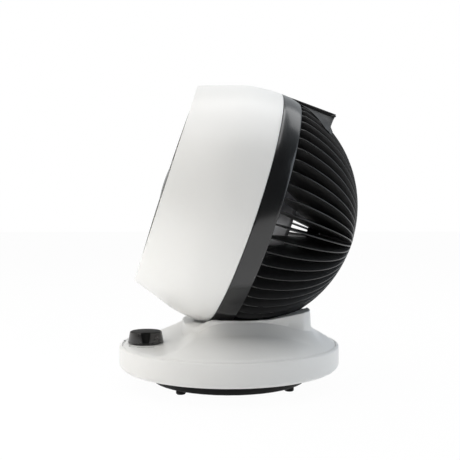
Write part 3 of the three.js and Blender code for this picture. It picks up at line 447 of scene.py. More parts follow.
def noise(tree, position, scale, detail, roughness=0.5):
    """Noise round a middle of one half."""
    links = {"Vector": position, "Scale": scale, "Detail": detail, "Roughness": roughness}
    return put(tree, "ShaderNodeTexNoise", links).outputs["Fac"]


def ranged(tree, value, low, high, least=0.0, most=1.0, **settings):
    """A value carried from one range to another."""
    links = {"Value": value, "From Min": low, "From Max": high, "To Min": least, "To Max": most}
    return put(tree, "ShaderNodeMapRange", links, **settings).outputs[0]


def mixed_colour(tree, share, first, second):
    """A colour between two others. Sockets 6, 7 and 2 are the mix node's colours."""
    return put(tree, "ShaderNodeMix", {"Factor": share, 6: first, 7: second}, data_type="RGBA").outputs[2]


def effect(name, inputs, wired):
    """A node group, made once: inputs are names with defaults, and wired(tree, inputs) gives each output."""
    if name in bpy.data.node_groups:
        return bpy.data.node_groups[name]
    tree = bpy.data.node_groups.new(name, "ShaderNodeTree")
    for socket, default in inputs.items():
        kind = "NodeSocketFloat" if isinstance(default, float) else "NodeSocketVector"
        made = tree.interface.new_socket(socket, in_out="INPUT", socket_type=kind)
        if default is not None:
            made.default_value = default
    outputs = wired(tree, tree.nodes.new("NodeGroupInput").outputs)
    for socket in outputs:
        tree.interface.new_socket(socket, in_out="OUTPUT", socket_type="NodeSocketFloat")
    wire(tree, tree.nodes.new("NodeGroupOutput"), outputs)
    return tree


def mould_grain():
    """Fine grain, slow waviness and patches of gloss of a moulded surface."""
    def wired(tree, start):
        position = start["Position"]
        fine = noise(tree, position, start["Grain scale"], 2.0)
        wavy = noise(tree, position, WAVE_SCALE, 1.0)
        patchy = noise(tree, position, PATCH_SCALE, 5.0, 0.6)
        grain = calculate(tree, "MULTIPLY", fine, start["Grain"])
        wave = calculate(tree, "MULTIPLY", wavy, start["Wave"])
        return {"Height": calculate(tree, "ADD", grain, wave), "Gloss": patchy, "Tone": wavy}

    return effect("Mould grain", {"Position": None, "Grain scale": 2500.0, "Grain": 0.5, "Wave": 0.5}, wired)


def settled_dust():
    """Mask of thin dust that lies on faces that look up."""
    def wired(tree, start):
        up = put(tree, "ShaderNodeSeparateXYZ", {0: start["Facing"]})
        flat = ranged(tree, up.outputs["Z"], 0.3, 1.0)
        strewn = ranged(tree, noise(tree, start["Position"], SPECK_SCALE, 6.0), 0.45, 0.75)
        lying = calculate(tree, "MULTIPLY", flat, strewn)
        return {"Mask": calculate(tree, "MULTIPLY", lying, start["Amount"])}

    return effect("Settled dust", {"Position": None, "Facing": None, "Amount": 0.1}, wired)


def turned_lines():
    """Fine turning or grinding lines across one axis."""
    def wired(tree, start):
        stretched = put(tree, "ShaderNodeVectorMath", {0: start["Position"], 1: start["Stretch"]},
                        operation="MULTIPLY")
        lines = noise(tree, stretched.outputs[0], LINE_SCALE, 4.0)
        return {"Height": lines, "Gloss": lines}

    return effect("Turned lines", {"Position": None, "Stretch": (1.0, 1.0, 40.0)}, wired)


# ---- Finishes ----
# What each finish changes from a plain one; the tint is a colour of FanFinishes.
PLAIN = dict(grain_scale=2500.0, grain=0.5, wave=0.4, depth=4e-5, spread=0.08, shade=0.06, dust=0.0,
             metallic=0.0, specular=0.5, lines=False)
FINISHES = {
    "White moulding": dict(tint="white", roughness=0.30, wave=0.5, depth=1e-5, spread=0.012, shade=0.006),
    "Black moulding": dict(tint="black", roughness=0.20, grain=0.6, depth=1e-5, spread=0.02, shade=0.1,
                           dust=0.001, specular=0.8),
    "Satin moulding": dict(tint="black", roughness=0.42, grain=0.6, depth=2e-5, spread=0.03, shade=0.1,
                           specular=0.35),
    "Matt moulding": dict(tint="matt_black", roughness=0.5, grain=1.0, depth=6e-5, shade=0.15, dust=0.002,
                          specular=0.15),
    # Fins are one black moulding in two tones: the sides are lightened as painted light, and the outer edges take
    # a darker tone that tempers their highlight line.
    "Fin side": dict(tint="fin_side", roughness=0.4, grain=0.8, shade=0.12, dust=0.004),
    "Fin edge": dict(tint="fin_edge", roughness=0.3, depth=3e-5, shade=0.1, specular=0.4),
    "Knob charcoal": dict(tint="charcoal", roughness=0.28, depth=2e-5, spread=0.03, specular=0.8),
    "Knob top": dict(tint="charcoal", roughness=0.6, grain=1.0, depth=3e-5, spread=0.04, specular=0.15),
    "Blade smoke": dict(tint="blade", roughness=0.28, grain=0.4, depth=3e-5, spread=0.06),
    "Natural nylon": dict(tint="nylon", roughness=0.42, grain=0.4, shade=0.05),
    "Foot rubber": dict(tint="rubber", roughness=0.85, grain_scale=1600.0, grain=1.0, depth=1e-4,
                        specular=0.3),
    "Ground steel": dict(tint="steel", roughness=0.28, metallic=1.0, depth=2e-5, lines=True),
    "Cast bell": dict(tint="casting", roughness=0.5, grain_scale=900.0, grain=1.0, metallic=1.0, depth=1e-4,
                      shade=0.12),
    "Laminated iron": dict(tint="iron", roughness=0.5, metallic=1.0, depth=1e-4, lines=True),
    "Enamelled copper": dict(tint="copper", roughness=0.35, metallic=1.0, depth=2e-4, lines=True),
    "Dial ink": dict(tint="ink", roughness=0.5, grain=0.3, depth=1e-5, shade=0.1),
}


def finish(name):
    """Material of a surface: its tint and gloss vary, and fine relief feeds its normal."""
    if name in bpy.data.materials:
        return bpy.data.materials[name]
    kind = {**PLAIN, **FINISHES[name]}
    tint = getattr(bpy.context.scene.fan_finishes, kind["tint"])
    material = bpy.data.materials.new(name)
    material.use_nodes = True
    tree = material.node_tree
    position = put(tree, "ShaderNodeTexCoord").outputs["Object"]
    grain = put(tree, "ShaderNodeGroup", {
        "Position": position, "Grain scale": kind["grain_scale"], "Grain": kind["grain"],
        "Wave": kind["wave"]}, node_tree=mould_grain())
    relief = grain
    if kind["lines"]:
        relief = put(tree, "ShaderNodeGroup", {"Position": position}, node_tree=turned_lines())
    dark = [channel * (1 - kind["shade"]) for channel in tint]
    light = [min(1.0, channel * (1 + kind["shade"])) for channel in tint]
    tone = mixed_colour(tree, grain.outputs["Tone"], (*dark, 1), (*light, 1))
    if kind["dust"]:
        facing = put(tree, "ShaderNodeNewGeometry").outputs["Normal"]
        mask = put(tree, "ShaderNodeGroup", {"Position": position, "Facing": facing, "Amount": kind["dust"]},
                   node_tree=settled_dust())
        tone = mixed_colour(tree, mask.outputs["Mask"], tone, DUST_TINT)
    glossiest = max(LEAST_ROUGHNESS, kind["roughness"] - kind["spread"])
    rough = ranged(tree, relief.outputs["Gloss"], 0.3, 0.7, glossiest, kind["roughness"] + kind["spread"])
    bump = put(tree, "ShaderNodeBump", {"Height": relief.outputs["Height"], "Distance": kind["depth"],
                                        "Strength": BUMP_STRENGTH})
    wire(tree, tree.nodes["Principled BSDF"], {
        "Metallic": kind["metallic"], "Specular IOR Level": kind["specular"], "Base Color": tone,
        "Roughness": rough, "Normal": bump.outputs["Normal"]})
    return material


# ---- Outline of the head ----
def dome_radius(head, along):
    return head.dome_radius * math.sqrt(max(0.0, 1 - (along / head.dome_depth) ** 2))


def dome_along(head, radius):
    return head.dome_depth * math.sqrt(max(0.0, 1 - (radius / head.dome_radius) ** 2))


SHELL_STEPS = 18                # steps along the shell's curve


def shell_outline(head, offset):
    """Side of the front shell from its mouth to its belly: a cone, then a curve."""
    cone_end = -head.front_depth + head.cone_length
    cone_top = head.mouth_radius + head.cone_slope * head.cone_length
    crown = cone_end + (head.belly_radius - cone_top) / head.cone_slope
    points = [(head.mouth_radius - offset, -head.front_depth)]
    corners = (cone_top, cone_end), (head.belly_radius, crown), (head.belly_radius, -head.gap)
    for t in shares(SHELL_STEPS):
        weights = ((1 - t) ** 2, 2 * t * (1 - t), t * t)
        radius, along = (sum(w * corner[axis] for w, corner in zip(weights, corners)) for axis in (0, 1))
        points.append((radius - offset, along))
    return points


class FAN_OT_front_shell(Operator):
    """Turn the white front shell with its rounded mouth"""
    bl_idname = "fan.front_shell"
    bl_label = "Front shell"

    def execute(self, context):
        head = context.scene.fan_head
        outer = shell_outline(head, 0.0)
        inner = shell_outline(head, head.wall)[::-1]
        shell = turned("shell_skin", [*outer, *inner, outer[0]])
        rounded(shell, head.edge_round)
        settle(shell, HEAD)
        dress(shell, "head", "white_plastic", "White moulding", "front_shell")
        return {"FINISHED"}


# ---- Rear grille ----
BAND_STEPS = 8
BAND_BULGE = 0.0006             # middle of the band's side beyond a straight line
BAND_LATENESS = 1.15            # how late the band's side falls, as a power
BAND_DEPTH = 0.004              # reach of the band's rear face towards the axis
SPIGOT_WALL = 0.002
SPIGOT_TAPER = 0.0006
HUB_STEPS = 10
HUB_LIFT = 0.0004               # rise of the hub's rim over the dome
HUB_FLOOR = 0.003               # extra thickness of the hub's floor
FIN_GRID = (26, 3)
FIN_ROUND = 0.32                # rounding of a fin's edges, as a share of its thickness
FIN_EDGE = 0.0005               # depth of a fin's smoother outer edge, which takes the darker tone that tempers its highlight line
SLIT_REACH = 0.006              # reach of the slit's cutter beyond the dome
TRACK_WALL = math.radians(2)    # wall at each end of the track
TRACK_STEPS = 48


def grille_band(head):
    """The smooth black band with its spigot inside the shell."""
    edge = dome_radius(head, head.band_width)
    spigot = head.belly_radius - head.wall - head.gap
    bore = spigot - SPIGOT_WALL
    side = []
    for share in shares(BAND_STEPS):
        straight = blend(head.belly_radius, edge + head.gap, share ** BAND_LATENESS)
        side.append((straight + BAND_BULGE * math.sin(math.pi * share), head.band_width * share))
    return turned("grille_band", [
        *side, (edge - BAND_DEPTH, head.band_width), (bore, head.band_width / 2), (bore, -head.lap),
        (spigot - SPIGOT_TAPER, -head.lap), (spigot, 0), side[0]])


def grille_hub(head):
    """The domed rear hub, hollow from the front."""
    skin = [(head.hub_radius, head.hub_front)]
    for share in shares(HUB_STEPS):
        radius = head.hub_radius * (1 - share)
        skin.append((radius, dome_along(head, radius) + HUB_LIFT * (1 - share ** 2)))
    inner, floor = head.hub_radius - head.wall, head.wall + HUB_FLOOR
    hollow = [(0, head.dome_depth - floor), (inner, dome_along(head, head.hub_radius) - floor),
              (inner, head.hub_front)]
    return turned("grille_hub", [*skin, *hollow, skin[0]], SMALL_ROUND * 2)


def grille_fin(head):
    """One radial web: its outer edge follows the dome and its inner edge runs straight to the hub."""
    first = math.asin(head.band_width / head.dome_depth)
    last = math.acos((head.hub_radius - head.fin_root) / head.dome_radius)
    sill = (head.fin_sill, head.band_width - head.fin_root)
    foot = (head.hub_radius - head.fin_root, head.hub_front + head.fin_root)

    def place(u, v):
        turn = blend(first, last, u)
        outer = (head.dome_radius * math.cos(turn), head.dome_depth * math.sin(turn))
        if u == 0:
            outer = (outer[0] - head.fin_root, outer[1] - head.fin_root)
        inner = (blend(sill[0], foot[0], u), blend(sill[1], foot[1], u))
        return Vector((0, -blend(inner[0], outer[0], v), blend(inner[1], outer[1], v)))

    fin = surface("grille_fin", *FIN_GRID, place)
    shaped(fin, "SOLIDIFY", thickness=head.fin_thickness, offset=0)
    rounded(fin, head.fin_thickness * FIN_ROUND, 2, 60)
    # The sides are lightened as painted light inside the grille. The outer edge's faces take a darker tone that
    # tempers their highlight line.
    coat(fin, "Fin side", "Fin edge")
    for face in fin.data.polygons:
        radius = math.hypot(face.center.x, face.center.y)
        reach = math.hypot(radius / head.dome_radius, face.center.z / head.dome_depth)
        if reach > 1 - FIN_EDGE / head.dome_radius and face.center.z > head.band_width:
            face.material_index = 1
    return fin


def track_cutter(head):
    """The track's cavity and the slit behind it, as one solid."""
    reach = head.dome_radius + SLIT_REACH
    outline = [(-head.cavity_half, head.cavity_inner), (head.cavity_half, head.cavity_inner),
               (head.cavity_half, head.cavity_outer), (head.slit_half, head.cavity_outer),
               (head.slit_half, reach), (-head.slit_half, reach), (-head.slit_half, head.cavity_outer),
               (-head.cavity_half, head.cavity_outer)]
    return swept_section("slot_tool", outline, head.track_start + TRACK_WALL, head.track_end - TRACK_WALL,
                         TRACK_STEPS)


def tilt_track(head):
    """The curved channel that the tilt shoe runs in, before its cavity is cut."""
    outline = [(-head.track_half, head.track_inner), (head.track_half, head.track_inner),
               (head.track_half, head.track_outer), (-head.track_half, head.track_outer)]
    return swept_section("tilt_track", outline, head.track_start, head.track_end, TRACK_STEPS)


LIP_DECK_STEPS = 12             # steps of the lip's section along its deck, and down its rear face
LIP_REAR_STEPS = 10
LIP_RISE_POWER = 2.2            # how the deck's height and the ends of a section fade towards a flank's foot
LIP_START_POWER = 0.55
LIP_END_POWER = 0.7
LIP_HOLLOW_POWER = 0.62         # below 1 the rear face is deepest above its middle
LIP_SEAM_GAP = 0.0006
LIP_SINK = 0.0002               # the flanks' feet lie this far inside the dome
LIP_LEAST = 0.0004              # least height of the deck over that
LIP_EDGE = 0.0016               # height of the deck's rear edge
LIP_BROW = (0.0004, 0.0003)     # reach of that edge's top and foot behind the deck
LIP_RECESS = 0.0011             # depth of the groove under the bead
LIP_RECESS_DROP = 0.0002        # groove's upper side below the bead
LIP_THICKNESS = 0.0009
LIP_DECK_COLUMNS = 8            # from the deck's middle to its side
LIP_BEAD = ((0.4, 0.02), (0.6, 0.1), (0.9, 0.4), (1.0, 0.55), (1.0, 1.0))       # out and down, in beads
LIP_FLANK = (0.05, 0.1, 0.17, 0.24, 0.32, 0.4, 0.48, 0.56, 0.64, 0.72, 0.8, 0.87, 0.94, 1.0)


def lip_profile(head, flare, drop):
    """Section of the lip, flare 0 on the deck and 1 at a flank's foot: top, edge and hollow rear face."""
    rise = (1 - flare) ** LIP_RISE_POWER
    start = blend(LIP_SEAM_GAP, head.lip_flank_start, flare ** LIP_START_POWER)
    end = blend(head.lip_length, head.lip_flank_end, flare ** LIP_END_POWER)

    def skin(along):
        return dome_radius(head, along) - LIP_SINK

    def deck(along):
        full = blend(head.lip_crest, head.lip_end_radius, along / head.lip_length) - drop
        return max(skin(along), blend(skin(along) + LIP_LEAST, full, rise))

    deck_places = [blend(start, end, share) for share in shares(LIP_DECK_STEPS)]
    points = [(along, deck(along)) for along in deck_places]
    foot = end + head.lip_foot
    hollow = head.lip_hollow * rise ** 0.5
    edge = min(LIP_EDGE, 0.5 * (deck(end) - skin(end))) * (1 if drop == 0 else 0.3)
    crest = deck(end) - edge
    points += [(end + LIP_BROW[0], deck(end) - 0.3 * edge), (end + LIP_BROW[1], crest)]
    for share in shares(LIP_REAR_STEPS)[1:]:
        along = blend(end, foot, share) - hollow * math.sin(math.pi * share ** LIP_HOLLOW_POWER)
        points.append((along, max(skin(along), blend(crest, skin(foot), share))))
    return points


def lip_columns(head):
    """From the deck's middle to a flank's foot: angle from the top, flare and drop below the deck."""
    side, reach, bead = head.lip_half_angle, head.lip_crest, head.lip_bead
    below = bead + head.lip_groove
    recess, edge = side + (bead - LIP_RECESS) / reach, side + bead / reach
    return [*((side * share, 0.0, 0.0) for share in shares(LIP_DECK_COLUMNS)),
            *((side + bead * out / reach, 0.0, bead * down) for out, down in LIP_BEAD),
            (recess, 0.0, bead + LIP_RECESS_DROP), (recess, 0.0, below), (edge, 0.01, below),
            *((blend(edge, head.lip_flare_angle, share), share, below) for share in LIP_FLANK)]


def carrying_lip(head):
    """The visor-like lip over the top of the grille."""
    half = lip_columns(head)
    columns = [(-side, flare, drop) for side, flare, drop in half[:0:-1]] + half
    profiles = [lip_profile(head, *column[1:]) for column in columns]
    last = len(profiles[0]) - 1

    def place(u, v):
        index = round(v * (len(columns) - 1))
        along, radius = profiles[index][round(u * last)]
        side = columns[index][0]
        return Vector((radius * math.sin(side), -radius * math.cos(side), along))

    lip = surface("carrying_lip", last, len(columns) - 1, place)
    middle = max(lip.data.polygons, key=lambda face: -face.center.y)
    if middle.normal.y > 0:
        lip.data.flip_normals()
    return shaped(lip, "SOLIDIFY", thickness=LIP_THICKNESS, offset=-1)


class FAN_OT_rear_grille(Operator):
    """Build the rear grille: band, radial fins, hub, tilt track and carrying lip"""
    bl_idname = "fan.rear_grille"
    bl_label = "Rear grille"

    def execute(self, context):
        head = context.scene.fan_head
        band = rounded(grille_band(head), head.edge_round * 0.6)
        hub = grille_hub(head)
        fin = grille_fin(head)
        only(fin)
        bpy.ops.transform.rotate(value=head.fin_phase, orient_axis="Z", center_override=(0, 0, 0))
        settle(fin)
        fins = copies(fin, head.fin_count)
        reach = head.cavity_half + head.fin_thickness
        crossed = [one for one in fins if min(abs(vertex.co.x) for vertex in one.data.vertices) < reach]
        track = tilt_track(head)
        for piece in (*crossed, band, hub, track):
            cut(piece, track_cutter(head))
        lip = carrying_lip(head)
        coat(band, "Black moulding")
        for piece in (hub, track, lip):
            coat(piece, "Satin moulding")
        grille = joined("rear_grille_skin", [*fins, band, hub, track, lip])
        settle(grille, HEAD)
        dress(grille, "head", "satin_black_plastic", None, "rear_grille")
        return {"FINISHED"}


# ---- Front grille and blades ----
GRILLE_SETBACK = 0.001          # rim's face behind the shell's mouth
RIM_ROUND = 0.0012
RING_WIDTH = 0.004              # of the ring that carries the cap
RING_FACE = 0.002               # its face behind the grille's
VANE_ROOT = 0.002               # depth of a vane's ends in the rim and the ring
VANE_UNDER_CAP = 0.0023         # a vane's inner end behind the grille's face
VANE_REAR = 0.001               # vanes' rear edges before the rim's
VANE_GRID = (24, 3)
CAP_STEPS = 10
CAP_EDGE, CAP_RISE = 0.0012, 0.0022             # cap's rim behind the grille's face, and its dome over that
CAP_BACK, CAP_FLOOR, CAP_PLUG = 0.0017, 0.0022, 0.006           # behind the grille's face
WHEEL_SETBACK = 0.006           # hub's face behind the blades' front, and boss before the hub's rear
WHEEL_ROUND = 0.005
WHEEL_FLOOR = (0.009, 0.013)    # its inside behind the blades' front, at the boss and at the wall
BOSS_RADIUS = 0.009
BLADE_GRID = (20, 24)
BLADE_ROOT = 0.0015
BLADE_THICKNESS = 0.0016
BLADE_SPREAD = (52, 58)         # degrees, at the hub and at the tip
BLADE_SWEEP = math.radians(22)
BLADE_PITCH = (0.020, 0.016)    # half of a blade's reach along the axis, at the hub and at the tip
BLADE_CAMBER = 0.003
BLADE_SHIFT = 0.004             # middle of the blades behind the hub's middle
TIP_START, TIP_NARROWING = 0.8, 0.25            # where a blade starts to narrow, and by how much


def face_along(head, front, radius):
    """Place of the front grille's face, which bulges towards its middle."""
    outer = head.mouth_radius - head.wall - head.gap
    return -head.front_depth - front.grille_bulge * (1 - (radius / outer) ** 2) + GRILLE_SETBACK


class FAN_OT_front_grille(Operator):
    """Build the front grille with its swept vanes, and its cap"""
    bl_idname = "fan.front_grille"
    bl_label = "Front grille"

    def execute(self, context):
        head, front = context.scene.fan_head, context.scene.fan_front
        outer = head.mouth_radius - head.wall - head.gap
        low = face_along(head, front, outer)
        rim = hoop("grille_rim", outer - front.rim_width, outer, low, low + front.grille_depth)
        rounded(rim, RIM_ROUND, 3)
        middle = face_along(head, front, 0)
        radius, inner = front.cap_radius, front.cap_radius - RING_WIDTH
        ring = hoop("cap_ring", inner, radius, middle + RING_FACE, middle + front.grille_depth, SMALL_ROUND)

        def place(u, v):
            reach = blend(radius - VANE_ROOT, outer - VANE_ROOT, u)
            turn = front.vane_sweep * u
            face = face_along(head, front, reach)
            near = max(face, middle + VANE_UNDER_CAP) if u < 0.05 else face
            along = blend(near, face + front.grille_depth - VANE_REAR, v)
            return Vector((reach * math.sin(turn), -reach * math.cos(turn), along))

        vane = surface("grille_vane", *VANE_GRID, place)
        shaped(vane, "SOLIDIFY", thickness=head.fin_thickness, offset=0)
        rounded(vane, head.fin_thickness * 0.3, 2, 60)
        grille = joined("front_grille_skin", [rim, ring, *copies(vane, front.vane_count)])
        settle(grille, HEAD)
        dress(grille, "head", "satin_black_plastic", "Black moulding", "front_grille")
        dome = [(radius * share, middle + CAP_EDGE - CAP_RISE * (1 - share ** 2))
                for share in shares(CAP_STEPS)]
        plug, bore = inner - head.gap, inner - head.wall
        cap = turned("grille_cap_skin", [
            *dome, (radius, middle + CAP_BACK), (plug, middle + CAP_BACK), (plug, middle + CAP_PLUG),
            (bore, middle + CAP_PLUG), (bore, middle + CAP_FLOOR), (0, middle + CAP_FLOOR)], SMALL_ROUND)
        rounded(cap, 0.0003)
        settle(cap, HEAD)
        dress(cap, "head", "satin_black_plastic", "Black moulding", "grille_cap")
        return {"FINISHED"}


class FAN_OT_blades(Operator):
    """Build the five swept blades on their hub"""
    bl_idname = "fan.blades"
    bl_label = "Blades"

    def execute(self, context):
        head, front = context.scene.fan_head, context.scene.fan_front
        hub, low, high = front.blade_hub, front.blade_front, front.blade_rear
        face, boss_end = low + WHEEL_SETBACK, high - WHEEL_SETBACK
        cup = turned("blade_hub", [
            (front.shaft_hole, face), (hub - WHEEL_ROUND, face),
            *arc((hub - WHEEL_ROUND, face + WHEEL_ROUND), WHEEL_ROUND, -90, 0, 5),
            (hub, high), (hub - head.wall, high), (hub - head.wall, low + WHEEL_FLOOR[1]),
            (BOSS_RADIUS, low + WHEEL_FLOOR[0]), (BOSS_RADIUS, boss_end), (front.shaft_hole, boss_end),
            (front.shaft_hole, face)], SMALL_ROUND)

        def place(u, v):
            radius = blend(hub - BLADE_ROOT, front.blade_radius, v)
            narrowing = TIP_NARROWING * max(0, v - TIP_START) / (1 - TIP_START)
            spread = math.radians(blend(*BLADE_SPREAD, v)) * (1 - narrowing)
            turn = BLADE_SWEEP * v * v + spread * (u - 0.5)
            across = 2 * u - 1
            along = ((low + high) / 2 + BLADE_SHIFT + blend(*BLADE_PITCH, v) * across
                     - BLADE_CAMBER * (1 - across ** 2))
            return Vector((radius * math.cos(turn), -radius * math.sin(turn), along))

        blade = surface("blade", *BLADE_GRID, place)
        shaped(blade, "SOLIDIFY", thickness=BLADE_THICKNESS, offset=0)
        rounded(blade, 0.0004, 2, 60)
        wheel = joined("fan_blade_skin", [cup, *copies(blade, front.blade_count)])
        settle(wheel, HEAD)
        dress(wheel, "rotor", "smoke_plastic", "Blade smoke", "fan_blade")
        return {"FINISHED"}


# ---- Pedestal cover ----
NECK_PLAN = ((0, -0.052), (0.024, -0.051), (0.046, -0.045), (0.060, -0.035), (0.066, -0.020), (0.066, 0.012),
             (0.066, 0.060), (0.0625, 0.073), (0.050, 0.0805), (0, 0.0815))
NECK_RIM = ((0, 0.0625), (20, 0.0628), (50, 0.0655), (72, 0.0715), (100, 0.0705), (112, 0.071), (150, 0.0795),
            (180, 0.0795))      # degrees from the front, and height
NECK_REAR = (112, 150)          # degrees from the front over which the sides' fillet becomes the rear's
NECK_STEPS = 24                 # steps between two points of the neck's plan
VALLEY_AT, VALLEY_HALF = 50, 15                 # middle and half width in degrees of the hollow by the tongue
VALLEY_REACH = 0.030
SCOOP_RISE = 0.0002             # level floor round the knob over the deck
TILT_STEPS = 12                 # tilts at which the head's reach is measured
FLARE_STEPS, RIM_STEPS, BOWL_STEPS = 34, 8, 26  # up to the neck, over its rim, into the bowl
COVER_TURNS = 220               # columns round the cover
COVER_ROUND = 0.0006            # rounding of the cover's edge at the seam
COVER_STEP = 0.0002             # middle of that rounding, in and down
RIM_LEAST = 0.001               # least height of the neck's wall
CRADLE_EDGE = 0.004             # the cradle also limits this much outside the neck's wall
WINDOW_MARGIN = Vector((0.0008, 0.0008, 0.02))
HOLE_DEPTH = 0.02
BUSH_HOLE = 0.0049
GLAND_HOLE = 0.0053


def from_front(degrees):
    """Angle from the front, the same on both sides."""
    return abs((degrees + 180) % 360 - 180)


def neck_wall():
    """Radius of the neck's wall at each degree from the front, from a smooth curve through its plan."""
    half = [Vector((x, y)) for x, y in NECK_PLAN]
    ring = half + [Vector((-p.x, p.y)) for p in half[-2:0:-1]]
    count, polar = len(ring), []
    for index in range(count):
        before, start, end, after = (ring[(index + k) % count] for k in (-1, 0, 1, 2))
        for t in shares(NECK_STEPS)[:-1]:
            point = 0.5 * (2 * start + (end - before) * t + (2 * before - 5 * start + 4 * end - after) * t * t
                           + (3 * start - before - 3 * end + after) * t ** 3)
            polar.append((math.degrees(math.atan2(point.x, -point.y)) % 360, point.length))
    polar.sort()
    polar = [(polar[-1][0] - 360, polar[-1][1]), *polar, (polar[0][0] + 360, polar[0][1])]

    def radius(degrees):
        degrees %= 360
        for (low, near), (high, far) in zip(polar, polar[1:]):
            if low <= degrees <= high:
                return blend(near, far, (degrees - low) / max(high - low, 1e-9))
        return polar[0][1]
    return radius


def rim_height(degrees):
    degrees = from_front(degrees)
    for (low, first), (high, second) in zip(NECK_RIM, NECK_RIM[1:]):
        if low <= degrees <= high:
            return blend(first, second, ease(degrees, low, high))
    return NECK_RIM[-1][1]


def dome_top(base, radius):
    """Height of the base's domed top at a distance from its axis."""
    inward = max(0.0, base.seam - radius)
    return base.deck + base.dome_slope * inward - base.dome_bend * inward * inward


def scoop_top(base, x, y):
    """Height of the hollow round the knob: a level floor, then a slope that curves up to its steepest."""
    away = math.hypot(max(0.0, abs(x) - base.scoop_width), max(0.0, y - base.scoop_back))
    run = min(away, base.scoop_curve * math.sin(base.scoop_steepest))
    curved = base.scoop_curve - math.sqrt(base.scoop_curve ** 2 - run ** 2)
    return base.deck + SCOOP_RISE + curved + (away - run) * math.tan(base.scoop_steepest)


def soft_least(first, second, softness):
    """The lesser of two heights, with a soft change between them."""
    share = min(1.0, max(0.0, 0.5 + 0.5 * (second - first) / softness))
    return blend(second, first, share) - softness * share * (1 - share)


def cradle_reach(head, direction):
    """Greatest distance of the head's surface from the tilt centre, in a direction, over the whole tilt."""
    cone_start = head.mouth_radius + head.cone_slope * head.front_depth
    farthest = 0.0
    for share in shares(TILT_STEPS):
        tilt = math.pi / 2 * share
        back = direction.y * math.cos(tilt) - direction.z * math.sin(tilt)
        across = math.sqrt(max(1e-9, 1 - back * back))
        if back >= 0:
            reach = 1 / math.hypot(across / head.dome_radius, back / head.dome_depth)
            reach = max(reach, head.belly_radius * (1 - 0.1 * back))
        else:
            reach = min(cone_start / (across - head.cone_slope * back), head.belly_radius / across)
        farthest = max(farthest, reach)
    return farthest


def cradle_height(base, head, x, y):
    """Height of the cradle's bowl under the tilting head."""
    centre = TILT_CENTRE - BASE.to_translation()
    flat = Vector((x, y - centre.y))
    reach = head.belly_radius
    for _ in range(3):
        drop = math.sqrt(max(0.0, (reach + base.cradle_gap) ** 2 - flat.length_squared))
        direction = Vector((flat.x, flat.y, -drop)).normalized()
        reach = cradle_reach(head, direction)
    drop = math.sqrt(max(0.0, (reach + base.cradle_gap) ** 2 - flat.length_squared))
    return centre.z - drop


class FAN_OT_pedestal_cover(Operator):
    """Shape the white cover: seam, domed top, scoop round the knob, neck and cradle"""
    bl_idname = "fan.pedestal_cover"
    bl_label = "Pedestal cover"

    def execute(self, context):
        base, head = context.scene.fan_base, context.scene.fan_head
        wall_radius = neck_wall()
        edge = base.seam - base.gap
        columns = {}

        def column(degrees):
            """Points up one side of the cover, from its skirt to the bottom of the cradle."""
            turn = math.radians(degrees)
            across = Vector((math.sin(turn), -math.cos(turn)))
            wall = wall_radius(degrees)
            rim = rim_height(degrees)
            rear = ease(from_front(degrees), *NECK_REAR)
            rise = blend(base.side_fillet, base.rear_fillet, rear)
            reach = blend(base.side_reach, base.rear_reach, rear)
            aside = math.exp(-((from_front(degrees) - VALLEY_AT) / VALLEY_HALF) ** 2)

            def top(radius):
                near = max(0.0, 1 - (radius - wall) / reach)
                sunk = base.valley_depth * aside * max(0.0, 1 - (radius - wall) / VALLEY_REACH) ** 1.5
                full = dome_top(base, radius) + rise * (1 - aside) * near ** 1.6 - sunk
                return soft_least(full, scoop_top(base, *across * radius), base.ridge_blend)

            points = [(edge, base.deck - base.wall), (edge, base.deck - COVER_ROUND),
                      (edge - COVER_STEP, base.deck - COVER_STEP)]
            for share in shares(FLARE_STEPS)[:-1]:
                radius = blend(edge - COVER_ROUND, wall, share ** 0.8)
                points.append((radius, top(radius)))
            foot = min(top(wall), rim - RIM_LEAST)
            shoulder = min(blend(base.shoulder, base.valley_round, aside), rim - foot - 0.0005)
            lean = blend(base.shoulder, 2 * base.valley_round, aside)
            brow = wall - base.draft * (rim - foot)
            inner = brow - lean
            points += [(wall, foot), (blend(wall, brow, 0.5), blend(foot, rim - shoulder, 0.5))]
            for share in shares(RIM_STEPS):
                bend = math.pi / 2 * share
                points.append((brow - lean * (1 - math.cos(bend)), rim - shoulder * (1 - math.sin(bend))))
            points += [(max(AXIS_RADIUS, inner * (1 - share)), rim) for share in shares(BOWL_STEPS)[1:]]
            held = []
            for radius, height in points:
                here = across * radius
                if radius < wall + CRADLE_EDGE:
                    height = min(height, cradle_height(base, head, *here))
                held.append((here, height))
            return held

        last = FLARE_STEPS + RIM_STEPS + BOWL_STEPS + 5

        def place(u, v):
            if u not in columns:
                columns[u] = column(360 * u)
            flat, height = columns[u][round(v * last)]
            return Vector((flat.x, flat.y, height))

        cover = surface("cover_skin", COVER_TURNS, last, place)
        bottom = min(cover.data.polygons, key=lambda face: math.hypot(face.center.x, face.center.y))
        if bottom.normal.z < 0:
            cover.data.flip_normals()
        shaped(cover, "SOLIDIFY", thickness=base.wall, offset=-1)
        low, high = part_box("tilt_shoe")
        middle = (low + high) / 2 - BASE.to_translation()
        cut(cover, block("post_window", high - low + 2 * WINDOW_MARGIN, middle))
        cut(cover, rod("bush_hole", BUSH_HOLE, HOLE_DEPTH, (0, KNOB_AXIS.y, base.deck)))
        settle(cover, BASE)
        dress(cover, "base", "white_plastic", "White moulding", "pedestal_cover")
        return {"FINISHED"}


SEAM_ROUND = 0.0005             # rounding of the tub's edge at the seam
SEAM_LIFT = (0.0006, 0.00002)   # last point of the tub's top: out from the seam, and over the deck
LEDGE_BRACKET = 0.003           # height of the slope under the ledge


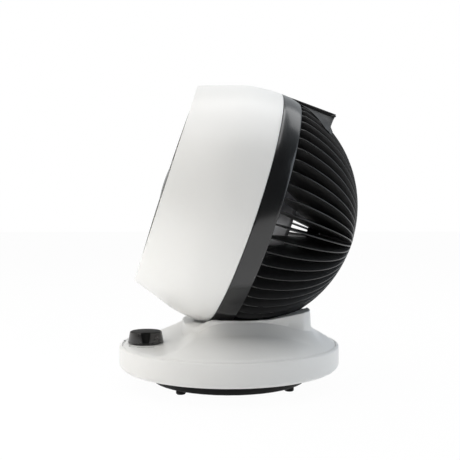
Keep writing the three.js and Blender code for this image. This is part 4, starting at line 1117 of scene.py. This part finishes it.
class FAN_OT_base_tub(Operator):
    """Turn the white base tub with its rounded edges"""
    bl_idname = "fan.base_tub"
    bl_label = "Base tub"

    def execute(self, context):
        base = context.scene.fan_base
        low_round, top_round = base.edge_round, base.top_round
        inside = base.radius - base.wall
        ledge = base.deck - base.wall - base.gap
        ledge_edge, floor_top = base.seam - base.ledge, base.floor + base.wall
        start = (base.opening, base.floor)
        tub = turned("tub_skin", [
            start, *arc((base.radius - low_round, base.floor + low_round), low_round, -90, 0, 10),
            *arc((base.radius - top_round, base.deck - top_round), top_round, 0, 80, 8),
            (base.seam + SEAM_LIFT[0], base.deck + SEAM_LIFT[1]),
            *arc((base.seam + SEAM_ROUND, base.deck - SEAM_ROUND), SEAM_ROUND, 90, 180, 3),
            (base.seam, ledge), (ledge_edge, ledge), (ledge_edge, ledge - base.wall),
            (inside, ledge - base.wall - LEDGE_BRACKET), (inside, base.floor + low_round),
            (inside - low_round + base.wall, floor_top), (base.opening, floor_top), start])
        low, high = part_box("cord_gland")
        middle = (low + high) / 2 - BASE.to_translation()
        cut(tub, rod("gland_hole", GLAND_HOLE, HOLE_DEPTH, middle, (math.pi / 2, 0, 0)))
        settle(tub, BASE)
        dress(tub, "base", "white_plastic", "White moulding", "base_tub")
        return {"FINISHED"}


# ---- Knob and the marks round it ----
DIAL_DOTS = ((128, 0.030), (45, 0.024), (-42, 0.0255), (-62, 0.023), (-113, 0.025))     # degrees, radius
DIAL_ARC = (19, 0.0276)         # half angle in degrees, radius
DOT_RADIUS = 0.0011
STROKE_WIDTH = 0.0007
INK_DEPTH = 0.0003
INK_LIFT = 0.0002               # middle of the marks over the deck's edge
CROWN_STEPS = 12
KNOB_EDGE = 0.0012              # rounding between the knob's side and its crown
KNOB_BORE = 0.0033
KNOB_BORE_DEPTH = 0.008
NOTCH_FOOT, NOTCH_ABOVE = 0.0012, 0.002         # notch's foot over the knob's, its tool over the side's top
NOTCH_OUT = 0.0006              # notch's middle outside the knob's foot
NOTCH_DEPTH = 0.005
SKIN_DEPTH = 0.0004             # the notch's faces lie deeper than this, and the top's don't


class FAN_OT_knob(Operator):
    """Model the crowned knob with its pointer notch, and the dots and arc printed round it"""
    bl_idname = "fan.knob"
    bl_label = "Knob and dial"

    def execute(self, context):
        base = context.scene.fan_base
        low = base.deck + base.knob_lift
        high = low + base.knob_height
        crown = [(base.knob_top * share, high + base.knob_crown * (1 - share ** 2))
                 for share in shares(CROWN_STEPS)[-2::-1]]
        knob = turned("knob_skin", [
            (KNOB_BORE, low), (base.knob_foot, low),
            *arc((base.knob_top - KNOB_EDGE, high - KNOB_EDGE), KNOB_EDGE, 4, 76, 6), *crown,
            (0, low + KNOB_BORE_DEPTH), (KNOB_BORE, low + KNOB_BORE_DEPTH), (KNOB_BORE, low)], 96)
        unselect()
        notch_low, notch_high = low + NOTCH_FOOT, high + NOTCH_ABOVE
        middle = (base.knob_foot + NOTCH_OUT, 0, (notch_low + notch_high) / 2)
        spread = math.sqrt(0.5)
        bpy.ops.mesh.primitive_cone_add(vertices=4, radius1=base.knob_notch_foot * spread,
                                        radius2=base.knob_notch * spread, depth=notch_high - notch_low,
                                        rotation=(0, 0, math.pi / 4), location=middle)
        cut(knob, settle(named("pointer_notch")))
        # The notch's faces take the darker matt moulding as painted shade in the notch. The crown takes a matt
        # top.
        coat(knob, "Knob charcoal", "Matt moulding", "Knob top")
        for face in knob.data.polygons:
            middle = face.center
            side = blend(base.knob_top, base.knob_foot, (high - middle.z) / base.knob_height)
            inside = math.hypot(middle.x, middle.y) < side - SKIN_DEPTH and middle.z < high - SKIN_DEPTH
            if inside and middle.x > base.knob_top - NOTCH_DEPTH and abs(middle.y) < base.knob_notch:
                face.material_index = 1
            elif middle.z > high - SKIN_DEPTH:
                face.material_index = 2
        rounded(knob, 0.0002, 2, 40)
        place = BASE @ Matrix.Translation((0, KNOB_AXIS.y, 0))
        settle(knob, place)
        dress(knob, "knob", "smoke_plastic", None, "control_knob")

        top = base.deck + INK_LIFT
        marks = []
        for degrees, radius in DIAL_DOTS:
            turn = math.radians(degrees)
            marks.append(rod("dial_dot", DOT_RADIUS, INK_DEPTH,
                             (radius * math.cos(turn), -radius * math.sin(turn), top), steps=20))
        half, radius = DIAL_ARC

        def along_arc(u, v):
            turn = math.radians(blend(-half, half, u))
            reach = radius + STROKE_WIDTH * (v - 0.5)
            return Vector((reach * math.cos(turn), reach * math.sin(turn), top))

        stroke = surface("dial_arc", 24, 1, along_arc)
        shaped(stroke, "SOLIDIFY", thickness=INK_DEPTH, offset=0)
        dial = joined("dial_marks", [*marks, stroke])
        settle(dial, place)
        dress(dial, "base", "smoke_plastic", "Dial ink")
        return {"FINISHED"}


# ---- Pieces that keep the frame's shape ----
FRAME_ROUND = 0.00025           # rounding of these pieces' edges
SLOT_FINISHES = {
    "satin_black_plastic": "Matt moulding", "black_plastic": "Matt moulding", "smoke_plastic": "Blade smoke",
    "natural_plastic": "Natural nylon", "rubber_black": "Foot rubber", "screw_steel": "Ground steel",
    "spindle_steel": "Ground steel", "bearing_steel": "Ground steel", "motor_casting": "Cast bell",
    "motor_iron": "Laminated iron", "white_plastic": "White moulding",
}


class FAN_OT_other_pieces(Operator):
    """Smooth a copy of every other piece and give it its finish"""
    bl_idname = "fan.other_pieces"
    bl_label = "Other pieces"

    def execute(self, context):
        record = frame["record"]
        slots = {entry["node"]: entry["material_slot"] for entry in record["subparts"]}
        bodies = {node: body for body, nodes in record["behaviour"]["bodies"].items() for node in nodes}
        for node, source in frame["nodes"].items():
            if source.hide_render:
                continue
            unselect()
            copy = source.copy()
            copy.data = source.data.copy()
            context.scene.collection.objects.link(copy)
            copy.parent = None
            for key in list(copy.keys()):
                del copy[key]
            copy.name = f"{node}_skin"
            copy.data.name = copy.name
            rounded(close_up(copy, orient=False), FRAME_ROUND, 1, 50)
            made = "Enamelled copper" if node == "stator" else SLOT_FINISHES[slots[node]]
            dress(copy, bodies[node], slots[node], made, node)
        return {"FINISHED"}


# ---- Stage ----
CAMERA_PLACE = Vector((0.72185, -0.09549, 0.16827))
CAMERA_TURN = math.radians(6.83)        # towards the fan's front from straight across
CAMERA_PITCH = 0.0029
CAMERA_LENS = 51.32
FLOOR_REACH = 30
FLOOR_NEAR = 0.95                       # the floor ends a little behind the camera
WARM_LIGHT = (1.0, 0.97, 0.92)
COOL_LIGHT = (0.86, 0.93, 1.0)
WHITE_LIGHT = (1.0, 1.0, 1.0)
COOL_BACKDROP = (0.60, 0.66, 0.72)
WORLD_BRIGHT = 0.85
WORLD_DIM = 0.10
FLOOR_TINT = (0.90, 0.90, 0.90)
FLOOR_WHITE = 0.97                      # share of plain white that the camera sees in the floor
FLOOR_THICKNESS = 0.01
FLOOR_MIDDLE = -0.0051                  # so that its top is just under the feet
LAMPS = {                               # place, aim, width, depth, radiance and tint
    "top_lamp": ((0.15, -0.1, 1.75), (0.15, -0.1, 0.0), 1.5, 1.7, 2.2, WHITE_LIGHT),
    "crest_lamp": ((-0.55, 1.25, 1.75), (0, 0, 0.2), 1.0, 0.7, 1.4, WHITE_LIGHT),
    "front_lamp": ((0.7, -1.25, 1.6), (0, 0, 0.15), 1.3, 1.3, 1.7, WARM_LIGHT),
    "floor_lamp": ((0.25, -0.45, 0.55), (0.55, -1.1, 0), 0.8, 0.8, 3.9, WARM_LIGHT),
    "rear_lamp": ((0.5, 1.7, 0.6), (0, 0, 0.15), 1.2, 1.2, 1.4, COOL_LIGHT),
}


def ray_is(tree, *kinds):
    """1 for a ray of any of these kinds, otherwise 0."""
    path = put(tree, "ShaderNodeLightPath")
    found = path.outputs[kinds[0]]
    for kind in kinds[1:]:
        found = calculate(tree, "MAXIMUM", found, path.outputs[kind])
    return found


def studio_floor():
    """Pale matt surface that the camera sees nearly white, with the object's shadow on it."""
    material = bpy.data.materials.new("Studio floor")
    material.use_nodes = True
    tree = material.node_tree
    tree.nodes.clear()
    matt = put(tree, "ShaderNodeBsdfDiffuse", {"Color": (*FLOOR_TINT, 1)})
    white = put(tree, "ShaderNodeEmission", {"Color": (1, 1, 1, 1), "Strength": 1.0})
    seen = ray_is(tree, "Is Camera Ray", "Is Glossy Ray", "Is Transmission Ray")
    share = calculate(tree, "MULTIPLY", seen, FLOOR_WHITE)
    mixed = put(tree, "ShaderNodeMixShader", {0: share, 1: matt.outputs[0], 2: white.outputs[0]})
    put(tree, "ShaderNodeOutputMaterial", {"Surface": mixed.outputs[0]})
    return material


def studio_world():
    """Soft light from all round: warm before the fan, cool behind it, dim on one side, and white to see."""
    world = bpy.data.worlds.new("Studio")
    world.use_nodes = True
    tree = world.node_tree
    tree.nodes.clear()
    towards = put(tree, "ShaderNodeSeparateXYZ", {0: put(tree, "ShaderNodeTexCoord").outputs["Generated"]})
    warmth = ranged(tree, towards.outputs["Y"], -0.8, 0.8)
    tint = mixed_colour(tree, warmth, (*WARM_LIGHT, 1), (*COOL_BACKDROP, 1))
    strength = ranged(tree, towards.outputs["X"], -0.5, 0.6, WORLD_BRIGHT, WORLD_DIM,
                      interpolation_type="SMOOTHSTEP")
    light = put(tree, "ShaderNodeBackground", {"Color": tint, "Strength": strength})
    white = put(tree, "ShaderNodeBackground", {"Color": (1, 1, 1, 1), "Strength": 1.0})
    seen = ray_is(tree, "Is Camera Ray", "Is Transmission Ray")
    mixed = put(tree, "ShaderNodeMixShader", {0: seen, 1: light.outputs[0], 2: white.outputs[0]})
    put(tree, "ShaderNodeOutputWorld", {"Surface": mixed.outputs[0]})
    return world


def soft_lamp(name, place, aim, width, depth, radiance, tint):
    """A large lamp of a given brightness that looks at a point."""
    unselect()
    bpy.ops.object.light_add(type="AREA", location=place)
    lamp = bpy.context.active_object
    lamp.name = name
    lamp.data.shape = "RECTANGLE"
    lamp.data.size = width
    lamp.data.size_y = depth
    lamp.data.energy = radiance * math.pi * width * depth
    lamp.data.color = tint
    lamp.visible_camera = False
    lamp.rotation_euler = (Vector(aim) - Vector(place)).to_track_quat("-Z", "Y").to_euler()


class FAN_OT_stage(Operator):
    """Set the pale floor, the soft lamps and the camera"""
    bl_idname = "fan.stage"
    bl_label = "Stage"

    def execute(self, context):
        unselect()
        floor = block("studio_floor", (FLOOR_REACH + FLOOR_NEAR, 2 * FLOOR_REACH, FLOOR_THICKNESS),
                      ((FLOOR_NEAR - FLOOR_REACH) / 2, 0, FLOOR_MIDDLE))
        floor.data.materials.append(studio_floor())
        context.scene.world = studio_world()
        for name, settings in LAMPS.items():
            soft_lamp(name, *settings)
        unselect()
        bpy.ops.object.camera_add(location=CAMERA_PLACE)
        camera = bpy.context.active_object
        camera.name = "photo_camera"
        look = Vector((-math.cos(CAMERA_TURN), math.sin(CAMERA_TURN), -CAMERA_PITCH))
        camera.rotation_euler = look.to_track_quat("-Z", "Y").to_euler()
        camera.data.sensor_width = 36.0
        camera.data.lens = CAMERA_LENS
        camera.data.clip_start = 0.01
        camera.data.clip_end = 100
        context.scene.camera = camera
        context.scene.view_settings.view_transform = "Standard"
        return {"FINISHED"}


STEPS = (FAN_OT_stage, FAN_OT_front_shell, FAN_OT_rear_grille, FAN_OT_front_grille, FAN_OT_blades,
         FAN_OT_pedestal_cover, FAN_OT_base_tub, FAN_OT_knob, FAN_OT_other_pieces)


class FAN_PT_panel(Panel):
    """Sidebar panel of the fan"""
    bl_idname = "FAN_PT_panel"
    bl_label = "Fan"
    bl_space_type = "VIEW_3D"
    bl_region_type = "UI"
    bl_category = "Fan"

    def draw(self, context):
        for step in STEPS:
            self.layout.operator(step.bl_idname)
        for group in ("fan_head", "fan_front", "fan_base", "fan_finishes"):
            sizes = getattr(context.scene, group)
            for key in sizes.__annotations__:
                self.layout.prop(sizes, key)


GROUPS = {"fan_head": FanHeadSizes, "fan_front": FanFrontSizes, "fan_base": FanBaseSizes,
          "fan_finishes": FanFinishes}


def register():
    for kind in (*GROUPS.values(), *STEPS, FAN_PT_panel):
        bpy.utils.register_class(kind)
    for name, kind in GROUPS.items():
        setattr(bpy.types.Scene, name, PointerProperty(type=kind))


def unregister():
    for name in GROUPS:
        delattr(bpy.types.Scene, name)
    for kind in (FAN_PT_panel, *reversed(STEPS), *GROUPS.values()):
        bpy.utils.unregister_class(kind)


def main():
    register()
    bpy.ops.fan.stage()
    bpy.ops.fan.front_shell()
    bpy.ops.fan.rear_grille()
    bpy.ops.fan.front_grille()
    bpy.ops.fan.blades()
    bpy.ops.fan.pedestal_cover()
    bpy.ops.fan.base_tub()
    bpy.ops.fan.knob()
    bpy.ops.fan.other_pieces()
    unselect()


if __name__ == "__main__":
    main()
